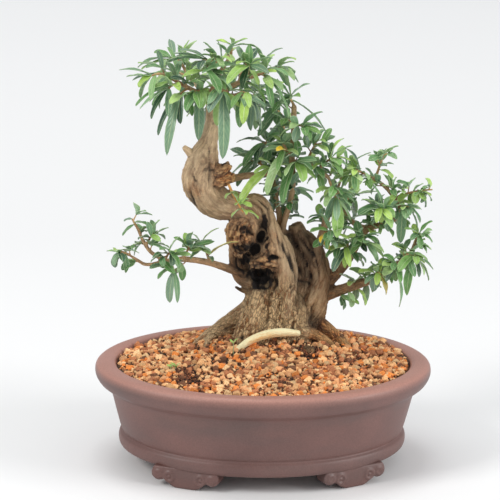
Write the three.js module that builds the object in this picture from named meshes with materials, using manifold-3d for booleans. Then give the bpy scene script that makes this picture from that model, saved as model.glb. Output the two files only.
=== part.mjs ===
// Pomegranate bonsai: a squat twisted trunk with leafy shoots, in an oval unglazed pot of soil grains.
// Millimetres, +Z up. The origin is under the middle of the pot, on the surface that its feet stand on.
import * as THREE from 'three';
import { mergeVertices } from 'three/addons/utils/BufferGeometryUtils.js';
import Module from 'manifold-3d';

const wasm = await Module();
wasm.setup();

// Driving dimensions.
const GAP = 0.3; // clearance between pieces that touch
const POT = { halfLength: 126.4, squash: 0.775, height: 78, underside: 13, sides: 36 };
const FLOOR_TOP = 21.5; // inside of the pot's floor
const FOOT = { halfWidth: 27, depth: 13, x: 59.9, y: 61.3, turn: 24, lobe: 7, shoulder: 9, sunk: 1.5 };
const DRAIN = { x: 46, radius: 12, sides: 20 };
const SCREEN = { size: 36, thickness: 1.2, openings: 2, bar: 4 };
const SOIL = { rim: 73.5, mound: 15, x: 16, y: 24, reachX: 72, reachY: 50, top: 95 };
const GRAIN = { cell: 13, rise: 1.2, shift: 1.3 }; // how coarse and how rough the soil's surface is
const TWIG = { root: 1.15, tip: 0.55, stub: 1.6, last: 0.94, sink: 0.3, sides: 3 };
const BLADE = { thickness: 0.8, rise: 0.3, stations: [0, 0.34, 0.7, 1] };
const LEAF = { narrow: 3, slim: 0.13, bend: 0.7, roll: 0.15 }; // width grows by slim for each mm of length
const PAIRS = { first: 0.45, open: 0.85, openLast: 0.45, opening: 0.4, turn: 0.6, shorter: 0.04 };
const CLEAR = { leaf: 2.6, sameShoot: 1.5, wood: 1.3, tries: 9 };
const REACH = { x: 125.8, y: 97, z: 320.2, low: 100 };

const COLOUR = { pot: 0x7a5c58, soil: 0xb97f55, wood: 0x9a7b5c, leaf: 0x4f7a45, screen: 0x1d1d1f };

// Limbs of the one piece of wood, as rows of [x, y, z, radius] from the thick end to the thin one.
// A buried limb ends in the soil, which has a plain hole for it.
const WOOD = [
  { sides: 12, lobes: 4, flute: 0.07, turn: 1.1, buried: true, // trunk, over the arch to the apex
    rows: [[24, 34, 58, 21], [23.5, 34, 78, 24], [20, 33.5, 94.5, 23.8], [17, 33, 110.5, 22.2],
      [13, 32.5, 127.5, 19], [6, 29.5, 145.5, 17.4], [-2, 27, 163.5, 16.4], [-10.5, 24.5, 180, 14],
      [-19, 22.5, 189.5, 11.8], [-32, 22, 192.5, 12], [-43.5, 20.5, 201.5, 14.2],
      [-47.5, 19.5, 214.5, 14.7], [-45.5, 18.5, 229, 11.6], [-42, 18.5, 242, 7], [-40.5, 18, 256, 4.6],
      [-41.5, 17.5, 268.5, 3.3], [-43, 17, 275.5, 2.8]] },
  { sides: 9, lobes: 3, flute: 0.08, turn: 0.9, buried: true, // right shoulder, broken off at the top
    rows: [[32, 36, 64, 15], [32, 36, 78, 18], [33, 35, 99.5, 16.4], [36.5, 34.5, 120.5, 16.9],
      [38, 33, 140, 14.5], [34, 31.5, 154.5, 11.4], [28, 30, 165.5, 8.3], [24.5, 28.5, 175.5, 4.9]] },
  { sides: 7, // shell of old bark that bows out at the left of the hollow
    rows: [[1.5, 25, 122.5, 6], [-9, 23, 130, 5.4], [-18, 22, 135.5, 3.9], [-21.5, 21, 143.5, 3.1],
      [-22.5, 21, 153, 3.4], [-21, 21, 163, 4.6], [-17, 22, 172, 6.8]] },
  { sides: 6, // wood at the back of the hollow
    rows: [[-2, 36, 122, 9], [-12, 36, 139, 8.5], [-16, 35, 156, 9], [-14, 31, 173, 10]] },
  { sides: 7, // burl under the arch
    rows: [[-13, 18, 183, 6], [-19, 14, 174, 9.5], [-18, 14, 163, 8.6], [-11, 17, 155, 6]] },
  { sides: 6, // rough brow over the hollow
    rows: [[-10, 16, 149, 5.5], [-2, 9.5, 151.5, 6.6], [7, 9, 150, 6], [14, 12, 146, 5]] },
  { sides: 7, buried: true, // left side of the foot
    rows: [[1, 25, 136, 10.5], [-2.5, 23, 119, 11], [-5, 23, 103, 12.5], [-10, 25, 86, 12],
      [-12, 26, 70, 10]] },
  { sides: 6, // between trunk and shoulder
    rows: [[24, 31, 116, 14], [25, 29, 138, 12], [22, 28, 158, 7.5]] },
  { sides: 7, // twisted cord of wood over the front of the arch
    rows: [[17, 10, 135, 6.2], [15, 7.5, 152, 6], [10, 9, 166, 6], [5, 11.5, 178, 5.8], [0, 14.5, 189, 6.4],
      [-7, 16, 195, 6.6], [-17, 18, 192.5, 6.2]] },
  { sides: 6, // fibrous ridge down the front
    rows: [[13, 10, 170, 3.4], [18.5, 9, 158, 4.5], [20.5, 9.5, 142, 4.9], [19.5, 9.5, 124.5, 4.6],
      [17.5, 10, 107, 3.8]] },
  { sides: 6, rows: [[8, 14, 156, 4.5], [5, 9, 161, 6.2], [2, 5.5, 165, 4.2]] }, // knob
  { sides: 6, rows: [[-47, 18, 223, 6.5], [-54, 17, 231, 4.2], [-61, 16.5, 237.5, 1.8]] }, // snag
  { sides: 6, rows: [[-38, 15, 217, 6], [-32, 10.5, 221.5, 5.6], [-27, 9, 226, 3]] }, // burl
  { sides: 6, rows: [[-38, 14, 211, 6], [-29, 10.5, 215, 5.2], [-23, 9.5, 216, 3]] }, // burl
  { sides: 6, // short bough from the burl
    rows: [[-37, 18, 209, 4], [-31, 19, 210.5, 3.3], [-19.5, 20.5, 213.5, 2.8], [-7.5, 21.5, 215, 2.4],
      [3, 21, 216.5, 2.1]] },
  { sides: 8, buried: true, // left root and its fork
    rows: [[2, 34, 112, 12], [-12, 40.5, 100, 9.2], [-26, 41.5, 91, 7.2], [-38, 39, 85, 5.4],
      [-47.5, 35, 79.5, 3.9], [-55, 28, 73, 2.8]] },
  { sides: 6, buried: true,
    rows: [[-33, 40, 87, 4], [-41, 29.5, 81.5, 3.1], [-46, 13, 74.5, 2.2]] },
  { sides: 8, buried: true, // right roots
    rows: [[34, 32, 101, 8.6], [47, 29, 95, 5.9], [58, 27, 87, 4.4], [65.5, 17, 81.5, 3.4],
      [71, 6, 74, 2.5]] },
  { sides: 7, buried: true,
    rows: [[27, 17, 95, 6.8], [40, 17.5, 91.5, 4.2], [50, 14, 86.5, 3.4], [60, 9, 77.5, 2.4]] },
  { sides: 6, buried: true, // peeled dead root along the front
    rows: [[28, 9, 95, 2.4], [14, 5.5, 97, 3.4], [1, 5.5, 95, 3.5], [-11.5, 6, 89.5, 3], [-24, 4, 80, 2]] },
  { sides: 7, buried: true, // cut root that stands up in front
    rows: [[30, 22, 68, 6], [33, 9, 70, 5.4], [34.5, 0, 76, 5], [34, -2, 87.5, 4]] },
  { sides: 7, buried: true, rows: [[10, 22, 104, 9], [3, 15, 92, 6.5], [-3, 9, 79, 3.6]] },
  { sides: 7, buried: true, rows: [[27, 46, 102, 10], [31, 59, 90, 6], [36, 68, 76, 3.4]] },
  { sides: 7, buried: true, rows: [[8, 46, 102, 10], [-5, 58, 88, 5.6], [-14, 64, 75, 3]] },
  { sides: 6, // low left bough and its two arms
    rows: [[-2.5, 28.5, 129.5, 4.6], [-17, 22, 139, 3.5], [-35.5, 15.5, 147.5, 2.7], [-51, 11.5, 152, 2.4],
      [-65.5, 8.5, 153.5, 2.1], [-78, 6.5, 151.5, 1.8], [-86, 5.5, 150, 1.5]] },
  { sides: 4,
    rows: [[-73.5, 7.5, 152.5, 1.8], [-85, 9.5, 159, 1.6], [-90.5, 11, 167, 1.5],
      [-94.5, 12, 176, 1.2]] },
  { sides: 4,
    rows: [[-84, 5.5, 150.5, 1.5], [-90, 4.5, 151, 1.4], [-95.5, 2.5, 155, 1.3],
      [-101.5, 1.5, 159, 1]] },
  { sides: 6, // long right bough, back over the middle
    rows: [[47, 34.5, 126.5, 6.9], [58, 32, 136.5, 4.6], [65.5, 29.5, 146.5, 3.8], [72, 26, 160, 3],
      [79, 23, 172.5, 2.6], [89, 19.5, 177, 2.2], [99, 16.5, 182.5, 2], [101, 15, 191.5, 1.8],
      [96, 15, 200.5, 1.6], [87, 14.5, 210, 1.5], [78.5, 14.5, 214.5, 1.3]] },
  { sides: 4,
    rows: [[79, 23, 172.5, 2.3], [68.5, 30.5, 176.5, 2], [62, 36, 188.5, 1.8],
      [57.5, 38.5, 199.5, 1.5]] },
  { sides: 8, // low right bough
    rows: [[44, 32.5, 117.5, 6.5], [57.5, 28.5, 122.5, 4.6], [69.5, 23.5, 128, 3.8], [81, 18, 134, 3.3],
      [90, 14, 140.5, 3]] },
  { sides: 6,
    rows: [[88, 15, 139.5, 2.6], [100, 9.5, 148.5, 1.8], [110, 5.5, 159, 1.7],
      [113.5, 4, 170, 1.2]] },
  { sides: 6, // upright stem with a cut top, and its arm
    rows: [[14, 24, 155, 2.8], [15.5, 22.5, 177, 2.4], [19, 21, 191, 2.2], [21.5, 19.5, 208.5, 2.2],
      [20, 18, 227, 2.3], [20.5, 16, 248.5, 2.1], [20.5, 15.5, 268, 2.1]] },
  { sides: 4,
    rows: [[20.5, 18, 224.5, 2.2], [29.5, 15, 225.5, 2.1], [37.5, 12, 221.5, 1.9],
      [46.5, 9.5, 216, 1.6]] },
  { sides: 5, // dark stem behind it
    rows: [[10, 26, 158, 2.8], [13, 27, 176, 2.4], [10, 31, 196, 2.1], [7.5, 35, 214, 2],
      [14, 37.5, 230.5, 1.8], [15, 37.5, 256.5, 1.5]] },
  { sides: 7, // stump
    rows: [[40, 24, 142, 4.6], [42.5, 18, 163.5, 3.3], [45, 15, 175, 3], [47, 13.5, 185, 2.7]] },
  { sides: 4,
    rows: [[-42.5, 17, 273, 2.9], [-52, 12, 279, 1.9], [-65, 6, 287, 1.6], [-77, 1, 294, 1.2]] },
  { sides: 4,
    rows: [[-42.5, 17, 273, 2.6], [-49, 29, 279, 1.9], [-56.5, 41, 287, 1.5],
      [-62, 49, 295.5, 1.2]] },
  { sides: 4,
    rows: [[-42.5, 17, 272, 2.6], [-38.5, 15, 284.5, 2.1], [-33, 13, 296, 1.6],
      [-27, 12, 307, 1.2]] },
  { sides: 4,
    rows: [[-42, 17, 271, 2.6], [-28, 19, 281, 2.1], [-14, 21, 287.5, 1.8], [0, 22, 293, 1.3]] },
  { sides: 4, rows: [[-42, 17, 270, 2.5], [-33.5, 5, 276.5, 1.9], [-24, -7, 280.5, 1.4]] },
  { sides: 4, rows: [[-42, 17, 269, 2.5], [-28.5, 33, 272.5, 1.9], [-14, 45, 270.5, 1.5]] },
];

// Rotten hollows, as [x, y, z, half width, half depth, half height].
const HOLLOWS = [
  [-2, 11, 138.5, 8.5, 16, 9.5], [-15, 15, 148, 5, 12, 7], [-16, 4, 162, 6.5, 6, 3],
  [-14, 3, 177, 4.5, 5, 2.8], [-0.5, 4, 180, 2.4, 9, 6.5], [-3, 4, 169, 3, 10, 6],
  [-8, 5, 160, 3.5, 10, 5],
];

// Leafy shoots. Each twig bends up by bow between its ends. Pairs of leaves follow a rule, with leaf their
// length and sag their droop; own leaves are [place along the twig, tip x, y, z, width].
const SHOOTS = [
  { name: 'shoot_apex_01', from: [-77, 1, 294], to: [-86.5, -4, 293], bow: 2, pairs: 2,
    leaf: 22, sag: 0.5, own: [[0.9, -95, -8, 286, 7]] },
  { name: 'shoot_apex_02', from: [-64, 6, 287], to: [-73.5, -8, 285], bow: 2, pairs: 2,
    leaf: 24, sag: 0.7, own: [[0.6, -97, -6, 272, 6.5], [0.95, -86, -14, 264, 5.5]] },
  { name: 'shoot_apex_03', from: [-56.5, 9, 282], to: [-65.5, -10, 280.5], bow: 3, pairs: 1,
    leaf: 21, sag: 0.8, own: [[0.75, -81, -14, 252, 6], [1, -75, -18, 238, 7]] },
  { name: 'shoot_apex_04', from: [-47.5, 14, 276.5], to: [-55, -14, 283.5], bow: 4, pairs: 1,
    leaf: 21, sag: 0.8, own: [[0.6, -52, -14, 248, 8], [0.9, -52, -28, 274, 8], [1, -62, -30, 272, 7]] },
  { name: 'shoot_apex_05', from: [-62, 49, 295.5], to: [-69, 58, 297], bow: 2, pairs: 3,
    leaf: 24, sag: 0.4 },
  { name: 'shoot_apex_06', from: [-55, 38, 285], to: [-68.5, 42, 289], bow: 2, pairs: 3,
    leaf: 26, sag: 0.6 },
  { name: 'shoot_apex_07', from: [-27, 12, 307], to: [-26.5, 10, 315.5], bow: 1, pairs: 1,
    leaf: 14, sag: 0.1, own: [[1, -28, 9, 320, 6], [0.6, -8, 20, 311, 5.5]] },
  { name: 'shoot_apex_08', from: [-31.5, 13, 298], to: [-48, 2, 304.5], bow: 2, pairs: 2,
    leaf: 24, sag: 0.4, own: [[0.8, -65, -2, 312, 7], [0.3, -46, 10, 315, 5]] },
  { name: 'shoot_apex_09', from: [-37.5, 15, 287.5], to: [-47, -12, 299.5], bow: 4, pairs: 2,
    leaf: 24, sag: 0.5, own: [[1, -38, -26, 284, 9], [0.5, -64, -14, 294, 7]] },
  { name: 'shoot_apex_10', from: [0, 22, 293], to: [10, 20, 296.5], bow: 2, pairs: 2,
    leaf: 22, sag: 0.4, own: [[0.9, 20, 16, 301, 5], [1, 23, 14, 286, 6]] },
  { name: 'shoot_apex_11', from: [-14, 21, 287.5], to: [-14, 4, 300.5], bow: 3, pairs: 2,
    leaf: 22, sag: 0.3, own: [[1, 2, 2, 306, 7], [0.8, -14, 8, 315, 6], [0.7, -50, -14, 298, 8],
      [0.9, -33, -26, 292, 8]] },
  { name: 'shoot_apex_12', from: [-6, 21, 290.5], to: [-1.5, 6, 290.5], bow: 3, pairs: 1,
    leaf: 21, sag: 0.6, own: [[0.8, 10, -2, 282, 9], [1, 15, -2, 263, 6]] },
  { name: 'shoot_apex_13', from: [-20.5, 20, 284.5], to: [-15.5, 42, 291.5], bow: 3, pairs: 3,
    leaf: 24, sag: 0.4 },
  { name: 'shoot_apex_14', from: [-24, -7, 280.5], to: [-18, -20, 284], bow: 2, pairs: 1,
    leaf: 21, sag: 0.7, own: [[0.5, -22, -16, 258, 7], [0.9, -7, -18, 257, 7], [1, -21, -30, 263, 7]] },
  { name: 'shoot_apex_15', from: [-33.5, 5, 276.5], to: [-35, -18, 284.5], bow: 4, pairs: 1,
    leaf: 20, sag: 0.8, own: [[0.7, -39, -20, 260, 8], [1, -35, -26, 237, 9], [0.9, -46, -32, 272, 8]] },
  { name: 'shoot_apex_16', from: [-14, 45, 270.5], to: [-4, 56, 267], bow: 2, pairs: 3,
    leaf: 26, sag: 0.6 },
  { name: 'shoot_apex_17', from: [-28.5, 33, 272.5], to: [-36, 52, 267.5], bow: 2, pairs: 3,
    leaf: 26, sag: 0.7 },
  { name: 'shoot_stem_01', from: [20.5, 15.5, 268], to: [16.5, 13, 275.5], bow: 1, pairs: 2,
    leaf: 20, sag: 0.2, own: [[0.6, 44, 8, 249, 6], [1, 7, 14, 286, 6]] },
  { name: 'shoot_stem_02', from: [20, 16, 254.5], to: [27.5, 6, 253.5], bow: 2, pairs: 2,
    leaf: 20, sag: 0.3, own: [[1, 37, 0, 258, 7], [0.7, 31, -4, 246, 6]] },
  { name: 'shoot_stem_03', from: [20, 18, 230], to: [12.5, 4, 237.5], bow: 2, pairs: 1,
    leaf: 19, sag: 0.8, own: [[0.7, 0, -2, 205, 9], [1, -4, -4, 238, 7]] },
  { name: 'shoot_stem_04', from: [20.5, 18, 222.5], to: [21.5, 2, 229], bow: 2, pairs: 1,
    leaf: 19, sag: 0.8, own: [[0.7, 12, 0, 198, 8.5], [1, 26, -8, 216, 9.5], [0.9, 32, -8, 225, 8]] },
  { name: 'shoot_bar_01', from: [3, 21, 216.5], to: [4.5, 10, 224], bow: 1, pairs: 1,
    leaf: 18, sag: 0.7, own: [[0.7, -20, 0, 197, 9.5], [1, -6, 4, 230, 7]] },
  { name: 'shoot_dark_01', from: [15, 37.5, 255], to: [9, 34, 262], bow: 2, pairs: 2,
    leaf: 22, sag: 0.4, own: [[0.8, -9, 30, 266, 6], [0.5, -1, 24, 258, 7]] },
  { name: 'shoot_dark_02', from: [13, 37, 229], to: [-1, 34, 237], bow: 2, pairs: 3,
    leaf: 22, sag: 0.6 },
  { name: 'shoot_dark_03', from: [7, 35, 214.5], to: [-9, 42, 222], bow: 2, pairs: 3,
    leaf: 22, sag: 0.5 },
  { name: 'shoot_dark_04', from: [8.5, 33, 201], to: [24.5, 52, 196.5], bow: 3, pairs: 3,
    leaf: 20, sag: 0.5 },
  { name: 'shoot_arm_01', from: [30.5, 14.5, 225.5], to: [37, 10, 242], bow: 2, pairs: 2,
    leaf: 18, sag: 0.3, own: [[1, 43, 4, 252, 7], [0.8, 31, 16, 252, 7]] },
  { name: 'shoot_arm_02', from: [39, 11.5, 220.5], to: [48.5, 4, 231.5], bow: 2, pairs: 2,
    leaf: 18, sag: 0.5, own: [[0.9, 52, -6, 228, 10], [1, 63, 2, 241, 5]] },
  { name: 'shoot_arm_03', from: [46.5, 9.5, 216], to: [52.5, 2, 200.5], bow: -2, pairs: 2,
    leaf: 20, sag: 0.6, own: [[0.9, 52, -6, 173, 9.5], [0.5, 36, -4, 207, 7]] },
  { name: 'shoot_right_01', from: [57.5, 38.5, 199.5], to: [62.5, 40, 213], bow: 2, pairs: 3,
    leaf: 19, sag: 0.4, own: [[1, 82, 36, 229, 4]] },
  { name: 'shoot_right_02', from: [62, 36, 188.5], to: [71.5, 56, 190.5], bow: 3, pairs: 3,
    leaf: 20, sag: 0.5 },
  { name: 'shoot_right_03', from: [79, 14.5, 214.5], to: [65, 4, 222], bow: 2, pairs: 3,
    leaf: 18, sag: 0.5 },
  { name: 'shoot_right_04', from: [82.5, 14.5, 212.5], to: [88.5, 12, 233.5], bow: 2, pairs: 1,
    leaf: 13, sag: 0.1, own: [[0.45, 95, 8, 226, 6], [0.35, 94, 4, 216, 7.5], [1, 90, 12, 237, 2.5]] },
  { name: 'shoot_right_05', from: [97.5, 15, 198.5], to: [125, 8, 206.5], bow: 3, pairs: 1,
    leaf: 14, sag: 0.4, own: [[0.35, 100, 8, 197, 7], [0.55, 112, 6, 196, 6.5], [0.5, 118, 8, 211, 5.5],
      [0.93, 124, 6, 196, 6]] },
  { name: 'shoot_right_06', from: [100.5, 15, 191.5], to: [107.5, 6, 193.5], bow: 1, pairs: 1,
    leaf: 16, sag: 0.4, own: [[1, 126, 2, 187, 5], [0.7, 104, 0, 186, 7], [0.9, 114, 2, 175, 6],
      [0.5, 102, 6, 166, 7.5]] },
  { name: 'shoot_right_07', from: [94.5, 18, 180], to: [85, 2, 195.5], bow: 2, pairs: 2,
    leaf: 19, sag: 0.5, own: [[0.9, 67, -8, 191, 9]] },
  { name: 'shoot_right_08', from: [74, 25, 165], to: [76, 8, 166], bow: 2, pairs: 1,
    leaf: 18, sag: 0.5, own: [[0.7, 86, 0, 175, 6.5], [1, 88, -4, 161, 6], [0.8, 59, 2, 179, 8]] },
  { name: 'shoot_right_09', from: [67, 28, 151], to: [61.5, 10, 162.5], bow: 2, pairs: 1,
    leaf: 19, sag: 0.7, own: [[0.8, 51, 2, 145, 7.5], [1, 48, 0, 162, 8], [0.6, 70, 6, 151, 6]] },
  { name: 'shoot_right_10', from: [89, 19.5, 177.5], to: [87.5, 38, 180.5], bow: 3, pairs: 3,
    leaf: 19, sag: 0.5 },
  { name: 'shoot_low_01', from: [113.5, 4, 170], to: [115.5, 0, 175], bow: 1, pairs: 1,
    leaf: 15, sag: 0.3, own: [[1, 130, -2, 171, 3.5], [0.5, 115, -4, 164, 5], [0.8, 103, 0, 179, 5]] },
  { name: 'shoot_low_02', from: [109, 6, 157], to: [111.5, -4, 157.5], bow: 1, pairs: 1,
    leaf: 17, sag: 0.7, own: [[1, 125, -8, 149, 6], [0.8, 123, -2, 139, 5.5], [0.9, 106, -8, 129, 7],
      [0.6, 98, -14, 149, 8]] },
  { name: 'shoot_low_03', from: [102, 9, 150.5], to: [96.5, -2, 148.5], bow: 1, pairs: 1,
    leaf: 17, sag: 0.6, own: [[1, 101, -4, 119, 6], [0.8, 88, -8, 144, 8], [0.5, 87, -2, 154, 7]] },
  { name: 'shoot_low_04', from: [83, 17, 135], to: [85, 2, 144.5], bow: 1, pairs: 1,
    leaf: 17, sag: 0.6, own: [[1, 91, -2, 128, 7], [0.7, 70, 0, 145, 7], [0.8, 84, 8, 128, 8]] },
  { name: 'shoot_low_05', from: [72, 23, 128], to: [83, 40, 125], bow: 3, pairs: 3,
    leaf: 18, sag: 0.6 },
  { name: 'shoot_stump_01', from: [44, 16, 169], to: [49, 2, 177], bow: 1, pairs: 2,
    leaf: 17, sag: 0.4, own: [[0.8, 33, 2, 176, 7]] },
  { name: 'shoot_young_01', from: [-30.5, 9, 217], to: [-17, 2, 191], bow: -3, pairs: 0,
    leaf: 14, sag: 0.1, own: [[0.45, -26, 0, 207, 3], [0.75, -12, 0, 203, 6], [1, -6, -2, 187, 6.5]] },
  { name: 'shoot_left_01', from: [-94.5, 12, 176], to: [-99, 12, 184], bow: 0, pairs: 0,
    leaf: 16, sag: 0.3, own: [[1, -105, 12, 182, 3.5], [0.6, -88, 8, 180, 7.5], [0.3, -106, 8, 172, 3.5]] },
  { name: 'shoot_left_02', from: [-88.5, 10, 163.5], to: [-84.6, 6.2, 172.4], bow: 1, pairs: 1,
    leaf: 16, sag: 0.4, own: [[1, -78, 4, 170, 4.5]] },
  { name: 'shoot_left_03', from: [-101.5, 1.5, 159], to: [-109, -1, 163], bow: 0, pairs: 0,
    leaf: 18, sag: 0.5, own: [[0.5, -104, -2, 146, 5.5], [1, -94, -6, 162, 4]] },
  { name: 'shoot_left_04', from: [-75, 6, 152.5], to: [-71.5, -4, 162.5], bow: 1, pairs: 1,
    leaf: 18, sag: 0.3, own: [[1, -64, -4, 174, 5], [0.7, -86, -4, 168, 6]] },
  { name: 'shoot_left_05', from: [-70.5, 7.5, 152.5], to: [-67.5, 1, 146], bow: 0, pairs: 0,
    leaf: 22, sag: 0.8, own: [[0.9, -71, -2, 123, 7], [1, -66, -7, 125, 4.5], [0.6, -80, 2, 140, 6]] },
  { name: 'shoot_left_06', from: [-61.5, 9.5, 153], to: [-56, 4, 163.5], bow: 2, pairs: 1,
    leaf: 18, sag: 0.3, own: [[1, -40, 2, 170, 4]] },
  { name: 'shoot_left_07', from: [-40, 14.5, 148.5], to: [-46.5, 16, 166.5], bow: 0, pairs: 0,
    leaf: 16, sag: 0.2, own: [[1, -34, 14, 176, 4], [0.85, -59, 10, 167, 4], [0.9, -54, 18, 161, 3.5],
      [0.25, -21, 8, 167, 4.5], [0.3, -39, 3, 153, 4]] },
];

const UP = new THREE.Vector3(0, 0, 1);
const point = ([x, y, z]) => new THREE.Vector3(x, y, z);
const mix = THREE.MathUtils.lerp;
const join = (bodies) => bodies.reduce((all, body) => all.add(body));

// A geometry as a closed solid whose faces point out.
function solid(geometry) {
  const bare = geometry.clone();
  bare.deleteAttribute('normal');
  bare.deleteAttribute('uv');
  const merged = mergeVertices(bare, 1e-4);
  const corners = merged.index.array;
  const kept = [];
  for (let i = 0; i < corners.length; i += 3) {
    const [a, b, c] = corners.subarray(i, i + 3);
    if (a !== b && b !== c && c !== a) kept.push([a, b, c]);
  }
  const vertProperties = new Float32Array(merged.attributes.position.array);
  const made = (faces) => {
    const triVerts = new Uint32Array(faces.flat());
    return new wasm.Manifold(new wasm.Mesh({ numProp: 3, vertProperties, triVerts }));
  };
  const body = made(kept);
  return body.volume() > 0 ? body : made(kept.map(([a, b, c]) => [a, c, b]));
}

// A solid as a named mesh with its own material.
function piece(name, body, color, roughness) {
  const { vertProperties, triVerts, numProp, numVert } = body.getMesh();
  const places = new Float32Array(numVert * 3);
  for (let i = 0; i < numVert; i++) {
    places.set(vertProperties.subarray(i * numProp, i * numProp + 3), i * 3);
  }
  const geometry = new THREE.BufferGeometry();
  geometry.setAttribute('position', new THREE.BufferAttribute(places, 3));
  geometry.setIndex(new THREE.BufferAttribute(triVerts, 1));
  geometry.computeVertexNormals();
  const mesh = new THREE.Mesh(geometry, new THREE.MeshStandardMaterial({ color, roughness, metalness: 0 }));
  mesh.name = name;
  return mesh;
}

// The same seeded draws on every run, each from 0 to 1.
function draws(seed) {
  let state = seed;
  return () => {
    state = (state * 1664525 + 1013904223) % 4294967296;
    return state / 4294967296;
  };
}

// A closed tube through rows of [x, y, z, radius]. Flutes run round it, and grow widens it all over.
function limb({ rows, sides, lobes = 0, flute = 0, turn = 0 }, grow = 0) {
  const path = new THREE.CatmullRomCurve3(rows.map(point));
  const rings = rows.length - 1;
  const frames = [];
  const side = new THREE.Vector3(1, 0, 0);
  let before = null;
  for (let i = 0; i <= rings; i++) {
    const ahead = path.getTangent(i / rings);
    if (before) side.applyQuaternion(new THREE.Quaternion().setFromUnitVectors(before, ahead));
    side.addScaledVector(ahead, -side.dot(ahead)).normalize();
    frames.push({ side: side.clone(), across: new THREE.Vector3().crossVectors(ahead, side) });
    before = ahead;
  }
  const tube = new THREE.CylinderGeometry(1, 1, 1, sides, rings);
  const place = tube.attributes.position;
  for (let i = 0; i < place.count; i++) {
    const ring = Math.round((0.5 - place.getY(i)) * rings);
    const reach = Math.hypot(place.getX(i), place.getZ(i));
    const angle = Math.atan2(place.getX(i), place.getZ(i));
    const wave = 1 + flute * Math.cos(lobes * angle + turn * ring);
    const radius = reach * (rows[ring][3] + grow) * wave;
    const spot = path.getPoint(ring / rings);
    spot.addScaledVector(frames[ring].side, radius * Math.cos(angle));
    spot.addScaledVector(frames[ring].across, radius * Math.sin(angle));
    place.setXYZ(i, spot.x, spot.y, spot.z);
  }
  return solid(tube);
}

function ellipsoid([x, y, z, a, b, c]) {
  return solid(new THREE.SphereGeometry(1, 9, 6).scale(a, b, c).translate(x, y, z));
}

// A profile of [radius, height] turned round the axis and squashed to an oval.
function oval(profile) {
  const turned = new THREE.LatheGeometry(profile.map(([r, z]) => new THREE.Vector2(r, z)), POT.sides);
  return solid(turned.rotateX(Math.PI / 2).scale(1, POT.squash, 1));
}

// One cloud-shaped foot: a middle lobe that stands on the ground between two scrolled shoulders.
function foot(x, y, turn) {
  const { halfWidth: w, lobe, shoulder, depth } = FOOT;
  const top = POT.underside + FOOT.sunk;
  const outline = new THREE.Shape();
  outline.moveTo(-w + 3, top);
  outline.quadraticCurveTo(-w - 1.5, shoulder, -w + 3, 5.5);
  outline.quadraticCurveTo(-w + 7, 3, -w + 11, 6);
  outline.quadraticCurveTo(-lobe - 5, 1, -lobe, 0);
  outline.lineTo(lobe, 0);
  outline.quadraticCurveTo(lobe + 5, 1, w - 11, 6);
  outline.quadraticCurveTo(w - 7, 3, w - 3, 5.5);
  outline.quadraticCurveTo(w + 1.5, shoulder, w - 3, top);
  outline.closePath();
  const slab = new THREE.ExtrudeGeometry(outline, { depth, bevelEnabled: false, curveSegments: 3 });
  slab.rotateX(Math.PI / 2).translate(0, depth / 2, 0);
  return solid(slab.rotateZ(THREE.MathUtils.degToRad(turn)).translate(x, y, 0));
}

function drainHole(x) {
  const drill = new THREE.CylinderGeometry(DRAIN.radius, DRAIN.radius, POT.height, DRAIN.sides);
  return solid(drill.rotateX(Math.PI / 2).translate(x, 0, 0));
}

// From the underside up the foot band, the wall and the lip, and down the inside to the floor.
function pot() {
  const r = POT.halfLength;
  const body = oval([
    [0, POT.underside], [r - 25, POT.underside], [r - 19, 14.5], [r - 17.6, 18.5], [r - 18.4, 22.8],
    [r - 20.6, 25], [r - 19.4, 27.4], [r - 12, 55], [r - 9.5, 59.5], [r - 3, 64], [r, 70], [r - 0.6, 75],
    [r - 3.8, 77.4], [r - 8.5, POT.height], [r - 13.8, 77.4], [r - 15.8, 74.5], [r - 26, 31],
    [r - 36, FLOOR_TOP], [0, FLOOR_TOP],
  ]);
  const corners = [[1, 1], [1, -1], [-1, 1], [-1, -1]];
  const feet = corners.map(([i, j]) => foot(i * FOOT.x, j * FOOT.y, -i * j * FOOT.turn));
  return join([body, ...feet]).subtract(drainHole(-DRAIN.x)).subtract(drainHole(DRAIN.x));
}

// A square plastic screen of crossed bars, laid on the floor over a drain hole.
function screen(x) {
  const { size, bar, thickness, openings } = SCREEN;
  const pitch = (size - bar) / openings;
  const bars = Array.from({ length: openings + 1 }, (_, i) => (i - openings / 2) * pitch).flatMap((at) => [
    solid(new THREE.BoxGeometry(size, bar, thickness).translate(0, at, 0)),
    solid(new THREE.BoxGeometry(bar, size, thickness).translate(at, 0, 0)),
  ]);
  return join(bars).translate(x, 0, FLOOR_TOP + GAP + thickness / 2);
}

// Height of the soil: a low mound round the trunk.
function mound(x, y) {
  const across = (x - SOIL.x) / SOIL.reachX;
  const deep = (y - SOIL.y) / SOIL.reachY;
  return SOIL.rim + SOIL.mound * Math.exp(-(across ** 2) - deep ** 2);
}

// A number from -1 to 1 that is as good as random, and always the same at one place.
function roughness(x, y) {
  const wave = Math.sin(x * 12.9898 + y * 78.233) * 43758.5453;
  return 2 * (wave - Math.floor(wave)) - 1;
}

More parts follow.
